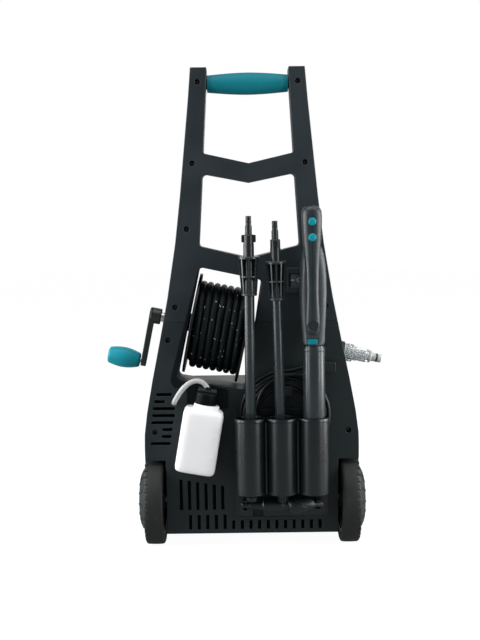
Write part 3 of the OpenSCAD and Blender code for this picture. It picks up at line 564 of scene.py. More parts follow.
def look(name):
    """The finish of that name, with its colours from the settings."""
    tone = bpy.context.scene.washer_finish
    table = {
        "shell": lambda: surface("satin body moulding", tone.body, 0.5, depth=0.05, Specular_IOR_Level=0.3),
        "frame": lambda: surface("satin frame moulding", tone.frame, 0.48, depth=0.05,
                                 Specular_IOR_Level=0.35),
        "holder": lambda: surface("glossy holder moulding", tone.holder, 0.3, depth=0.01, rough_vary=0.05),
        "gloss": lambda: surface("polished sleeve plastic", tone.sleeve, 0.26, depth=0.01, rough_vary=0.05),
        "lance": lambda: surface("hard black fittings", tone.holder, 0.38, depth=0.03),
        # Near-black foam-grained sheet behind the vent slots: painted shade of the body's inside.
        "vent_shade_finish": lambda: surface("black vent sheet, painted shade", (0.002, 0.0024, 0.0026), 0.9, grain=260.0, depth=0.4,
                                Specular_IOR_Level=0.1),
        # Near-black sheet finish for painted shade: the recess round the bottle's cap and the window's left
        # wall.
        "plate": lambda: surface("black sheet, painted shade", (0.001, 0.0035, 0.0048), 0.5, depth=0.03,
                                 Specular_IOR_Level=0.15),
        "screw": lambda: machined("blackened screw steel", (0.05, 0.055, 0.06), 0.4),
        "gun": lambda: surface("satin gun moulding", tone.gun, 0.42, depth=0.04),
        # The gun case's paler colour is a painted highlight on the gun's dark plastic.
        "case": lambda: surface("gun case, paler for painted highlight", tone.case, 0.45, depth=0.04),
        "cage": lambda: surface("coupler cage moulding", tone.sleeve, 0.34, depth=0.02),
        "foot": lambda: surface("foot rubber", (0.012, 0.0135, 0.014), 0.7, depth=0.08),
        "tyre": lambda: surface("tyre rubber", tone.tyre, 0.62, grain=700.0, depth=0.09, scuffs=0.5,
                                Specular_IOR_Level=0.35),
        "rim": lambda: surface("rim moulding", (0.01, 0.014, 0.016), 0.42),
        "grip": lambda: surface("soft teal grip", tone.grip, 0.55, depth=0.05, vary=0.08, scuff_tint=1.3,
                                Specular_IOR_Level=0.2),
        "teal": lambda: surface("bright teal plastic", tone.trim, 0.42, depth=0.03, vary=0.08,
                                scuff_tint=1.3,
                                Specular_IOR_Level=0.25),
        "reel": lambda: surface("reel moulding", (0.004, 0.0075, 0.009), 0.4, Specular_IOR_Level=0.25),
        "crank": lambda: surface("crank moulding", (0.006, 0.0095, 0.011), 0.33, depth=0.03),
        "cap": lambda: surface("bottle cap moulding", (0.0008, 0.0025, 0.0032), 0.5,
                               Specular_IOR_Level=0.12),
        "switch": lambda: surface("switch plate moulding", (0.012, 0.02, 0.023), 0.42),
        "rocker": lambda: surface("pale rocker plastic", (0.06, 0.075, 0.084), 0.34, depth=0.01),
        "cord": lambda: surface("cord jacket", (0.001, 0.0035, 0.0042), 0.4, grain=420.0, depth=0.05,
                                Specular_IOR_Level=0.35),
        "plug": lambda: surface("plug rubber", (0.003, 0.006, 0.007), 0.5, depth=0.06),
        "mark": lambda: surface("printed marks", (0.75, 0.76, 0.76), 0.6, vary=0.06, scuffs=0.1,
                                scuff_tint=0.8),
        "bush": lambda: surface("black nylon bush", (0.004, 0.006, 0.007), 0.42, vary=0.06),
        "tube": lambda: surface("cloudy vinyl tube", tone.tube, 0.3, depth=0.02, vary=0.1, scuff_tint=1.2,
                                Subsurface_Weight=0.15, Subsurface_Scale=0.004),
        "steel": lambda: machined("zinc plated steel", (0.6, 0.61, 0.62), 0.3),
        "brass": lambda: machined("machined brass", (0.72, 0.53, 0.24), 0.28),
        "alloy": lambda: surface("cast alloy", (0.56, 0.57, 0.58), 0.45, grain=380.0, depth=0.12,
                                 scuff_tint=0.8, Metallic=1.0),
        "iron": lambda: machined("stacked laminations", (0.3, 0.3, 0.31), 0.5, pitch=1500.0),
        "winding": lambda: machined("enamelled winding", (0.58, 0.27, 0.12), 0.32, pitch=1100.0),
        "coupler": lambda: surface("pale coupler plastic", (0.4, 0.42, 0.42), 0.28, depth=0.02, vary=0.08,
                                   scuff_tint=1.1),
        "seal": lambda: surface("seal rubber", (0.008, 0.008, 0.009), 0.5, depth=0.03),
        "mesh": lambda: machined("filter gauze", (0.5, 0.52, 0.53), 0.35, pitch=2600.0),
        "dark": lambda: surface("shadowed recess", (0.006, 0.006, 0.007), 0.6),
        "fan": lambda: surface("fan moulding", (0.04, 0.044, 0.047), 0.45),
    }
    return table[name]()


def clear_plastic():
    """The clear wall of the inlet filter: glassy, faintly cloudy, with flow lines."""
    mat = bpy.data.materials.get("clear filter wall")
    if mat:
        return mat
    mat = surface("clear filter wall", (0.9, 0.94, 0.94), 0.12, grain=300.0, depth=0.02, vary=0.03,
                  scuffs=0.2,
                  rough_vary=0.06, scuff_tint=0.95)
    shader = mat.node_tree.nodes["Principled BSDF"]
    shader.inputs["Transmission Weight"].default_value = 0.82
    shader.inputs["IOR"].default_value = 1.3
    return mat


def milky_bottle():
    """Blow-moulded white polythene: waxy, slightly see-through, with a soft flow texture."""
    mat = bpy.data.materials.get("milky bottle wall")
    if mat:
        return mat
    mat = surface("milky bottle wall", bpy.context.scene.washer_finish.bottle, 0.38, grain=160.0,
                  depth=0.06,
                  vary=0.02, scuffs=0.12, rough_vary=0.08, scuff_tint=0.93)
    shader = mat.node_tree.nodes["Principled BSDF"]
    shader.inputs["Subsurface Weight"].default_value = 0.35
    shader.inputs["Subsurface Scale"].default_value = 0.006
    shader.inputs["Subsurface Radius"].default_value = (1.0, 1.0, 1.0)
    return mat


# Settings ------------------------------------------------------------------------------------------

def tint(label, default, description):
    return bpy.props.FloatVectorProperty(name=label, description=description, subtype="COLOR", size=3,
                                         min=0.0, max=1.0, default=default)


def length(label, default, description, low=0.0, high=20.0):
    return bpy.props.FloatProperty(name=label, description=description, default=default, min=low, max=high,
                                   unit="LENGTH")


class WasherFinish(bpy.types.PropertyGroup):
    """Colours of the washer's main finishes."""
    body: tint("Body", (0.0095, 0.0158, 0.0178), "Colour of the body mouldings")
    frame: tint("Frame", (0.0112, 0.0178, 0.0222), "Colour of the upper frame")
    holder: tint("Holder", (0.0020, 0.0058, 0.0072), "Colour of the accessory holder and black fittings")
    sleeve: tint("Sleeve", (0.0150, 0.0220, 0.0245), "Colour of the polished lance and gun sleeves")
    gun: tint("Gun", (0.0120, 0.0205, 0.0240), "Colour of the gun's spine")
    # Paler than the gun's own colour as a painted highlight.
    case: tint("Gun case", (0.0330, 0.0400, 0.0430), "Colour of the gun's wider case, paler as a painted highlight")
    grip: tint("Grip", (0.0000, 0.1500, 0.1900), "Colour of the handle grip")
    trim: tint("Trim", (0.0020, 0.2350, 0.3000), "Colour of the crank grip, caps and front panel")
    tyre: tint("Tyre", (0.0105, 0.0125, 0.0115), "Colour of the tyres")
    bottle: tint("Bottle", (0.9, 0.905, 0.915), "Colour of the detergent bottle")
    tube: tint("Tube", (0.4400, 0.4450, 0.4450), "Colour of the suction tube")


class WasherStage(bpy.types.PropertyGroup):
    """Camera, light and floor."""
    floor_tone: tint("Floor", (0.9, 0.9, 0.9), "Colour of the pale floor")
    side_power: bpy.props.FloatProperty(name="Side lights",
                                        description="Power of each side light, in watts",
                                        default=20.0, min=0.0, max=500.0)
    strip_power: bpy.props.FloatProperty(name="Edge strips",
                                         description="Power of each edge strip, in watts",
                                         default=44.0, min=0.0, max=500.0)
    top_power: bpy.props.FloatProperty(name="Top light",
                                       description="Power of the overhead light, in watts",
                                       default=33.0, min=0.0, max=500.0)
    front_power: bpy.props.FloatProperty(name="Far fill", description="Power of the fill behind, in watts",
                                         default=14.0, min=0.0, max=500.0)
    ambient: bpy.props.FloatProperty(name="Ambient", description="Brightness of the white surroundings",
                                     default=0.24, min=0.0, max=5.0)
    lens: bpy.props.FloatProperty(name="Focal length", description="Camera focal length in millimetres",
                                  default=61.863, min=20.0, max=200.0)


class WasherSizes(bpy.types.PropertyGroup):
    """Sizes of the pieces that a user would change."""
    edge: length("Edge", 0.0013, "Softening of the body mouldings' edges", high=0.003)
    lug_count: bpy.props.IntProperty(name="Tread lugs", description="Lugs on each shoulder of a tyre",
                                     default=36, min=12, max=60)
    hose_d: length("Hose", 0.0126, "Diameter of the high-pressure hose on the reel", 0.008, 0.016)
    cord_d: length("Cord", 0.0072, "Diameter of the power cord", 0.006, 0.008)
    cord_long: length("Cord length", 5.0, "Real length of the power cord", 3.0, 8.0)
    tube_d: length("Suction tube", 0.0094, "Diameter of the suction tube", 0.006, 0.012)
    flange_ribs: bpy.props.IntProperty(name="Flange ribs", description="Ribs on each side of the hose reel",
                                       default=18, min=6, max=36)


# Stage -----------------------------------------------------------------------------------------------

def build_stage(context):
    """Floor, surroundings, soft lights and the camera."""
    scene = context.scene
    stage = scene.washer_stage
    scene.view_settings.view_transform = "Standard"
    cam = bpy.data.objects.new("Camera", bpy.data.cameras.new("Camera"))
    scene.collection.objects.link(cam)
    cam.data.lens = stage.lens
    cam.data.sensor_width = 36.0
    cam.data.clip_start = 0.05
    cam.data.clip_end = 60.0
    pitch, roll = math.radians(4.724), math.radians(-0.7336)
    ahead = Vector((0, math.cos(pitch), -math.sin(pitch)))
    up0 = Vector((0, math.sin(pitch), math.cos(pitch)))
    side = math.cos(roll) * Vector((1, 0, 0)) + math.sin(roll) * up0
    up = -math.sin(roll) * Vector((1, 0, 0)) + math.cos(roll) * up0
    turn = Matrix((side, up, -ahead)).transposed().to_4x4()
    cam.matrix_world = Matrix.Translation((-0.01888, -2.250, 0.590)) @ turn
    scene.camera = cam
    world = bpy.data.worlds.new("white room")
    world.use_nodes = True
    scene.world = world
    put, join = world.node_tree.nodes.new, world.node_tree.links.new
    seen, lit = world.node_tree.nodes["Background"], put("ShaderNodeBackground")
    ray, mix = put("ShaderNodeLightPath"), put("ShaderNodeMixShader")
    seen.inputs["Color"].default_value = (1, 1, 1, 1)
    lit.inputs["Color"].default_value = (0.97, 0.985, 1, 1)
    lit.inputs["Strength"].default_value = stage.ambient
    join(ray.outputs["Is Camera Ray"], mix.inputs[0])
    join(lit.outputs[0], mix.inputs[1])
    join(seen.outputs[0], mix.inputs[2])
    join(mix.outputs[0], world.node_tree.nodes["World Output"].inputs[0])
    floor_mesh = bpy.data.meshes.new("floor")
    bm = bmesh.new()
    bmesh.ops.create_circle(bm, cap_ends=True, segments=96, radius=14.0)
    bm.to_mesh(floor_mesh)
    bm.free()
    floor = bpy.data.objects.new("floor", floor_mesh)
    scene.collection.objects.link(floor)
    floor_mesh.materials.append(pale_floor(stage.floor_tone))
    soft_light("left light", (-1.55, -1.25, 0.75), (0, -0.2, 0.45), 0.55, 1.9, stage.side_power)
    soft_light("right light", (1.55, -1.25, 0.75), (0, -0.2, 0.45), 0.55, 1.9, stage.side_power)
    soft_light("left strip", (-1.75, -0.22, 0.55), (0, -0.28, 0.4), 0.85, 1.9, stage.strip_power)
    soft_light("right strip", (1.75, -0.22, 0.55), (0, -0.28, 0.4), 0.85, 1.9, stage.strip_power)
    soft_light("top light", (0.0, -0.7, 2.4), (0, -0.2, 0.3), 2.4, 1.6, stage.top_power)
    soft_light("far fill", (0.4, 2.2, 1.5), (0, 0, 0.4), 2.0, 1.6, stage.front_power)


def pale_floor(tone):
    """A matt white studio floor: bright to the camera, softer for the light it gives back."""
    mat = bpy.data.materials.new("pale studio floor")
    mat.use_nodes = True
    put, join = mat.node_tree.nodes.new, mat.node_tree.links.new
    shader, out = mat.node_tree.nodes["Principled BSDF"], mat.node_tree.nodes["Material Output"]
    where, mottle, ramp = put("ShaderNodeTexCoord"), put("ShaderNodeTexNoise"), put("ShaderNodeMapRange")
    ray, bright, faint = put("ShaderNodeLightPath"), put("ShaderNodeEmission"), put("ShaderNodeEmission")
    seen, lit, both = put("ShaderNodeMixShader"), put("ShaderNodeMixShader"), put("ShaderNodeMixShader")
    shader.inputs["Base Color"].default_value = (*tone, 1)
    mottle.inputs["Scale"].default_value = 3.0
    ramp.inputs["To Min"].default_value = 0.75
    ramp.inputs["To Max"].default_value = 0.9
    bright.inputs["Strength"].default_value = 1.1
    faint.inputs["Strength"].default_value = 0.22
    seen.inputs[0].default_value = 0.88
    lit.inputs[0].default_value = 0.8
    join(where.outputs["Object"], mottle.inputs["Vector"])
    join(mottle.outputs[0], ramp.inputs["Value"])
    join(ramp.outputs[0], shader.inputs["Roughness"])
    join(shader.outputs[0], seen.inputs[1])
    join(bright.outputs[0], seen.inputs[2])
    join(shader.outputs[0], lit.inputs[1])
    join(faint.outputs[0], lit.inputs[2])
    join(ray.outputs["Is Camera Ray"], both.inputs[0])
    join(lit.outputs[0], both.inputs[1])
    join(seen.outputs[0], both.inputs[2])
    join(both.outputs[0], out.inputs[0])
    return mat


def soft_light(name, at, towards, width, height, power):
    data = bpy.data.lights.new(name, "AREA")
    data.shape = "RECTANGLE"
    data.size = width
    data.size_y = height
    data.energy = power
    lamp = bpy.data.objects.new(name, data)
    bpy.context.scene.collection.objects.link(lamp)
    lamp.location = at
    lamp.rotation_euler = (Vector(towards) - Vector(at)).to_track_quat("-Z", "Y").to_euler()


# Cords and hoses ---------------------------------------------------------------------------------------

def cord_line():
    """The power cord's centreline: out of its gland, round the coil from outside to inside, to the plug."""
    y = -265.0
    lead = smooth_line([(106, -262, 338), (100, -262, 337.9), (91, -262.4, 336.6), (80, -262.8, 334.2),
                        (70, -262.4, 332.2)], 5)
    coil = []
    outer = [81.4 - 5.75 * k for k in range(6)]
    radii = outer + list(reversed(outer))
    depths = [y + 3.6] * 6 + [y - 3.6] * 6
    steps = 40
    total = 10.9
    for i in range(1, int(total * steps) + 1):
        t = i / steps
        k = min(10, int(t))
        f = t - k
        f = min(1.0, f)
        ease = max(0.0, (f - 0.55) / 0.45)
        ease = ease * ease * (3 - 2 * ease)
        r = radii[k] * (1 - ease) + radii[k + 1] * ease
        d = depths[k] * (1 - ease) + depths[k + 1] * ease
        a = math.pi / 2 + 2 * math.pi * t
        wobble = 0.5 * math.sin(2.37 * a + 0.9) * min(1.0, t)
        coil.append(Vector((62 + (r + wobble) * math.cos(a), d, 250 + (r + wobble) * math.sin(a))))
    return lead, coil


def power_cord_points():
    """The whole cord: its lead, its coil and a loop across the coil's face in to the plug."""
    lead, coil = cord_line()
    start = coil[-1]
    r0 = math.hypot(start.x - 62, start.z - 250)
    a0 = math.degrees(math.atan2(start.z - 250, start.x - 62))
    inward = []
    steps = 40
    for i in range(1, steps + 1):
        s = i / steps
        ease = s * s * (3 - 2 * s)
        out = min(1.0, s / 0.16)
        back = min(1.0, max(0.0, (s - 0.42) / 0.22))
        r = 23 + (r0 - 23) * (0.5 + 0.5 * math.cos(math.pi * s)) ** 1.5
        a = math.radians(a0 + (270 - a0) * s)
        y = start.y - 7.4 * out * out * (3 - 2 * out)
        y += (-265 - y) * back * back * (3 - 2 * back)
        inward.append(Vector((62 - 20 * ease + r * math.cos(a), y, 250 + r * math.sin(a))))
    end = [Vector((44.5, -265, 227)), Vector((47.5, -265, 227))]
    return [p * MM for p in lead + coil + inward + end]


def hose_line(d):
    """The pressure hose on its drum, in the reel's place: three layers wound to and fro."""
    radii = [45 + d / 2 + 0.1, 45 + 1.49 * d, 45 + 2.47 * d]
    low, high = d / 2 + 0.3, 96 - d / 2 - 0.3
    pitch = d + 0.25
    across = (high - low) / pitch
    points = []
    steps = 32
    angle = math.radians(66)
    for layer in range(3):
        count = int((across + (0.75 if layer < 2 else 0.3)) * steps)
        for i in range(count):
            go = min(1.0, i / (across * steps))
            u = low + (high - low) * (go if layer % 2 == 0 else 1 - go)
            climb = max(0.0, (i / steps - across) / 0.75)
            climb = climb * climb * (3 - 2 * climb)
            r = radii[layer] + ((radii[layer + 1] - radii[layer]) * climb if layer < 2 else 0)
            points.append(Vector((r * math.cos(angle), r * math.sin(angle), u)))
            angle += 2 * math.pi / steps
    return points


def build_cord(context):
    """The power cord with its gland, coil and plug."""
    sizes = context.scene.washer_sizes
    gland = moulding("cord_gland_boot", ["cord_gland"], look("plug"), "chassis", bevel=0.8)
    rings = repeated(turned([(5.0, 0), (6.1, 0.3), (6.1, 1.5), (5.0, 1.8)], 24), 6, look("plug"),
                     step=(0, 0, 3.6))
    place = Matrix.Translation((0.131, -0.262, 0.338)) @ Matrix.Rotation(-math.pi / 2, 4, "Y")
    piece("cord_gland_rings", rings, place, look("plug"), "chassis")
    plug = plug_piece()
    points = power_cord_points()
    cord = closed_curve("power_cord", points, sizes.cord_d, look("cord"), "chassis")
    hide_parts("cord_lead", "cord_coil")


def plug_piece():
    """The moulded plug, its ribbed strain relief and its pins."""
    rings = []
    for x, half, deep in ((44, 6, 5.5), (47, 14, 7), (52, 17.2, 7.8), (60, 17.8, 8), (76, 17.8, 8),
                          (82, 17.4, 7.7),
                          (84, 16.2, 6.6)):
        rings.append([Vector((x, -265 + q.y, 227 + q.x)) for q in oval(half, deep, 0, n=40, power=3.2)])
    body = piece("plug_body", lofted(rings), None, look("plug"), "chassis", ["cord_plug"], sharp=50)
    boot = [turned([(3.7, 0), (6.2 - 0.35 * k, 0.4), (6.2 - 0.35 * k, 2.0), (3.7, 2.4)],
                   28) for k in range(6)]
    for k, ring in enumerate(boot):
        bmesh.ops.translate(ring, verts=ring.verts, vec=(0, 0, 3.0 * k))
    place = Matrix.Translation((0.0445, -0.265, 0.227)) @ Matrix.Rotation(-math.pi / 2, 4, "Y")
    piece("plug_boot", joined(*boot), place, look("plug"), "chassis")
    pins = []
    for z in (217.5, 236.5):
        pin = turned([(0, 0), (2.4, 0), (2.4, 11.8), (1.7, 13), (0, 13)], 24)
        pin.transform(Matrix.Translation((84, -265, z)) @ Matrix.Rotation(math.pi / 2, 4, "Y"))
        pins.append(pin)
    piece("plug_pins", joined(*pins), None, look("steel"), "chassis")
    return body


def build_reel(context):
    """The hose reel: drum, ribbed flanges, the wound hose and its end fitting."""
    sizes = context.scene.washer_sizes
    moulding("reel_drum_moulding", ["reel_drum"], look("reel"), "reel", bevel=0.9)
    rib = sector([(47, -5.0), (91, -4.2), (91, -3.3), (47, -3.3)], 1.1)
    ribs = repeated(rib, sizes.flange_ribs, look("reel"), turn=(0, 0, 360 / sizes.flange_ribs))
    far_rib = sector([(48, 101.2), (91, 100.4), (91, 99.3), (48, 99.3)], 1.1)
    far_ribs = repeated(far_rib, sizes.flange_ribs, look("reel"), turn=(0, 0, 360 / sizes.flange_ribs))
    rims = joined(turned([(91, -4.2), (93.6, -4.2), (94, -3.8), (94, 0.4), (92.6, 0.4), (92.6, -3.4),
                          (91, -3.4)], 96),
                  turned([(91, 100.2), (93.6, 100.2), (94, 99.8), (94, 95.6), (92.6, 95.6), (92.6, 99.4),
                          (91, 99.4)],
                         96))
    piece("reel_flange_ribs", joined(ribs, far_ribs, rims), REEL_PLACE, look("reel"), "reel")
    d = sizes.hose_d / MM
    line = [REEL_PLACE @ (p * MM) for p in hose_line(d)]
    hose = closed_curve("pressure_hose", line, sizes.hose_d, hose_rubber(), "reel")
    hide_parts("reel_hose")
    fitting = hose_end(line)
    shaft = frame["nodes"]["reel_shaft"]
    dress(shaft, look("steel"))
    dress(frame["nodes"]["reel_bushes"], look("bush"))
    dress(frame["nodes"]["reel_union"], look("brass"))


def hose_end(line):
    """The crimped sleeve and screw end on the hose's free end."""
    end, back = line[-1], line[-2]
    ahead = (end - back).normalized()
    outline = [(0, -14), (7.2, -14), (7.6, -12), (7.6, -2), (6.2, -1), (6.2, 3), (8.6, 4), (8.6, 18),
               (5.2, 19),
               (5.2, 26), (0, 26)]
    bm = turned(outline, 36, lambda a, r,
                z: r * (1 + (0.03 * math.cos(12 * a) if 3.5 < z < 18.5 and r > 8 else 0)))
    place = Matrix.Translation(end) @ ahead.to_track_quat("Z", "Y").to_matrix().to_4x4()
    return piece("hose_end_fitting", bm, place, look("brass"), "reel")


def hose_rubber():
    """Black hose jacket, semi-gloss, with short pale dashes printed along it."""
    mat = bpy.data.materials.get("pressure hose jacket")
    if mat:
        return mat
    mat = surface("pressure hose jacket", (0.0022, 0.0046, 0.0055), 0.46, grain=480.0, depth=0.05,
                  scuffs=0.2,
                  Specular_IOR_Level=0.14)
    tree = mat.node_tree
    put, join = tree.nodes.new, tree.links.new
    shader = tree.nodes["Principled BSDF"]
    where = next(n for n in tree.nodes if n.type == "TEX_COORD")
    cells, cut, mix = put("ShaderNodeTexNoise"), put("ShaderNodeMapRange"), put("ShaderNodeMix")
    mix.data_type = "RGBA"
    cells.inputs["Scale"].default_value = 210.0
    cells.inputs["Detail"].default_value = 1.0
    cut.inputs["From Min"].default_value = 0.735
    cut.inputs["From Max"].default_value = 0.755
    mix.inputs["B"].default_value = (0.6, 0.62, 0.62, 1)
    before = shader.inputs["Base Color"].links[0].from_socket
    join(where.outputs["Object"], cells.inputs["Vector"])
    join(cells.outputs[0], cut.inputs["Value"])
    join(cut.outputs[0], mix.inputs["Factor"])
    join(before, mix.inputs["A"])
    join(mix.outputs["Result"], shader.inputs["Base Color"])
    return mat


def dress(node, material):
    """Gives a carried-over CAD node its finish."""
    node.data.materials.clear()
    node.data.materials.append(material)


# Body ------------------------------------------------------------------------------------------------

def build_body(context):
    """Upper frame, covers, front panel, tray and foot."""
    edge = context.scene.washer_sizes.edge / MM
    moulding("frame_rear_half", ["upper_frame_rear"], look("frame"), "chassis", bevel=edge)
    moulding("frame_front_half", ["upper_frame_front"], look("frame"), "chassis", bevel=edge)
    moulding("cover_rear", ["rear_cover"], look("shell"), "chassis", bevel=edge * 0.85)
    moulding("cover_front", ["front_cover"], look("shell"), "chassis", bevel=edge)
    moulding("front_panel", ["front_accent"], look("teal"), "chassis", bevel=1.2)
    moulding("foot_rubber", ["front_foot"], look("foot"), "chassis", bevel=1.2)
    dress(frame["nodes"]["base_tray"], look("shell"))
    panel_ribs()
    # A black sheet behind the vent slots: painted shade of the body's inside seen through them.
    vent_shade_finish = prism(rounded([(-154, 33), (116, 33), (116, 72), (-44, 72), (-44, 128), (-154, 128)], 3), -245,
                 -242)
    piece("intake_foam", vent_shade_finish, None, look("vent_shade_finish"), "chassis", bevel=0.4)
    # A thin black strip along the window's left edge: painted shade of the window's inner wall.
    liner = prism(rounded([(-94.5, 516), (-92.6, 516), (-136.4, 322), (-128, 313.5), (-112, 310.5),
                           (-112, 301),
                           (-141, 301), (-148, 312), (-146, 326)], 1.5), -250.5, -249.7)
    piece("window_liner", liner, None, look("plate"), "chassis", bevel=0.2)


def panel_ribs():
    """Raised bars across the front panel."""
    bar = prism(rounded([(-56, -2.2), (56, -2.2), (56, 2.2), (-56, 2.2)], 2.0), 22.6, 25.0)
    bars = repeated(bar, 6, look("teal"), step=(0, 0, 15))
    piece("front_panel_bars", bars, Matrix.Translation((0, 0, 0.196)), look("teal"), "chassis",
          sharp=40, bevel=0.6)


def build_screws(context):
    """Screw heads with a six-lobe socket, deep in their bosses, over the CAD screws' shanks."""
    outline = [(0, 1.2), (1.5, 1.2), (1.95, 1.4), (2.0, 2.6), (2.4, 2.9), (3.6, 2.6), (4.3, 1.6),
               (4.4, 0.4),
               (4.2, 0), (0, 0)]
    head = turned(outline, 36, lambda a, r,
                  z: r * (1 + 0.16 * math.cos(6 * a)) if r < 2.1 and z > 1.1 else r)
    head.transform(Matrix.Rotation(math.pi / 2, 4, "X"))
    places = [(x, -241, z) for x, z in SCREWS]
    heads = scattered(head, places, look("screw"), turn=(0, 60, 0))
    shank = turned([(0, 0), (2.2, 0), (2.2, 24.5), (1.4, 27), (0, 27)], 20,
                   lambda a, r, z: r * (0.93 + 0.07 * math.cos(a * 1 + z * 2 * math.pi / 1.6)))
    shank.transform(Matrix.Rotation(-math.pi / 2, 4, "X"))
    shanks = scattered(shank, [(x, -241.4, z) for x, z in SCREWS], look("screw"))
    piece("frame_screw_set", joined(heads, shanks), None, look("screw"), "chassis",
          ["frame_screws"])


def build_grip(context):
    """The barrel grip: crowned, with rolled ends and a faint parting line, over its round core."""
    outline = [(0, -82.2), (9.6, -82.2), (10, -81.6), (10, -73.2), (14.6, -73.2), (15.6, -72.6)]
    steps = 28
    for i in range(steps + 1):
        s = -1 + 2 * i / steps
        outline.append((15.5 + 4.0 * math.cos(math.pi / 2 * s) + 0.35 * (1 - abs(s)), 71.8 * s))
    outline += [(15.6, 72.6), (14.6, 73.2), (10, 73.2), (10, 81.6), (9.6, 82.2), (0, 82.2)]

    def parting(a, r, z):
        return r + (0.22 if r > 14 and min(abs(a - math.pi / 2), abs(a - 1.5 * math.pi)) < 0.03 else 0)

    bm = turned(outline, 72, parting)
    piece("handle_grip_barrel", bm, GRIP_PLACE, look("grip"), "chassis", ["handle_grip"],
          sharp=60)


# Wheels ----------------------------------------------------------------------------------------------

def tyre_profile():
    """The tyre's section: a smooth crown between two stepped shoulders."""
    return [(66, 3.2), (70, 1.6), (75, 0.6), (79.4, 0.8), (82.2, 2.2), (83.3, 4.6), (83.7, 7.6), (83.8, 9),
            (83.95, 18),
            (83.8, 27), (83.5, 28.8), (81.4, 29.6), (80.4, 32.6), (78.2, 35.0), (75, 35.9), (70, 35.2),
            (66, 33.8),
            (65.6, 30), (65.6, 8)]


def build_wheels(context):
    """Tyres with shoulder lugs, spoked rims and domed hub caps, one set for each side."""
    count = context.scene.washer_sizes.lug_count
    for side, word in ((-1, "left"), (1, "right")):
        place = wheel_place(side)
        body = "wheel_" + word
        outer = sector([(76.5, 35.4), (79.6, 36.0), (82.2, 34.2), (83.5, 31.8), (83.7, 28.0), (81, 28.0),
                        (78.6, 33.8)],
                       3.0, 0.3)
        outer.transform(Matrix.Rotation(math.radians(180 / count), 4, "Z"))
        turn = (0, 0, 360 / count)
        lugs = repeated(outer, count, look("tyre"), turn=turn)
        piece("tyre_lugs_" + word, lugs, place, look("tyre"), body, sharp=30, bevel=0.35)
        piece("tyre_carcass_" + word, turned(tyre_profile(), 96), place, look("tyre"), body,
              ["tyre_" + word], sharp=50)
        moulding("rim_" + word, ["wheel_rim_" + word], look("rim"), body, bevel=0.8)
        cap = turned([(0, 46.4), (0, 49), (7, 49.0), (9, 48.4), (11, 48.6), (30, 48), (33, 47.2),
                      (35, 47.6), (48, 44),
                      (58, 39.4), (64, 37.2), (65, 36.3), (64, 36.3), (59, 36.3), (59, 33), (56, 33),
                      (56, 37),
                      (46, 41.4), (28, 45.2), (8, 46.4)], 96)
        spoke = sector([(36, 46.2), (47, 43.2), (56.5, 39.2), (56.5, 41.0), (47, 45.4), (36, 48.4)], 2.4,
                       0.6)
        spokes = repeated(spoke, 12, look("rim"), turn=(0, 0, 30))
        piece("hub_cover_" + word, joined(cap, spokes), place, look("shell"), body,
              ["hub_cap_" + word], sharp=32)
    dress(frame["nodes"]["wheel_axle"], look("steel"))


# Crank -----------------------------------------------------------------------------------------------

def build_crank(context):
    """The crank's arm and its turning teal knob."""
    moulding("crank_arm_moulding", ["crank_arm"], look("crank"), "reel", bevel=1.6)
    dress(frame["nodes"]["crank_pin"], look("steel"))
    outline = [(0, 0.4), (7.5, 0.4), (9, 0), (12.5, 0.9)]
    for i in range(1, 25):
        s = i / 24
        outline.append((11.5 + 7.5 * math.sin(math.radians(20 + 150 * s)), 61 * s if i < 24 else 59.6))
    outline += [(11.2, 61), (0, 61)]

    def shallow(a, r, z):
        lobes = 0.16 * math.cos(8 * a) * math.sin(math.pi * min(1, max(0, z / 61)))
        return r + (lobes if r > 12 else 0)

    knob = turned(outline, 72, shallow)
    place = REEL_PLACE @ Matrix.Translation((0.088, 0, -0.147))
    piece("crank_knob", knob, place, look("teal"), "crank_handle", ["crank_grip"], sharp=50)


# Detergent bottle ------------------------------------------------------------------------------------

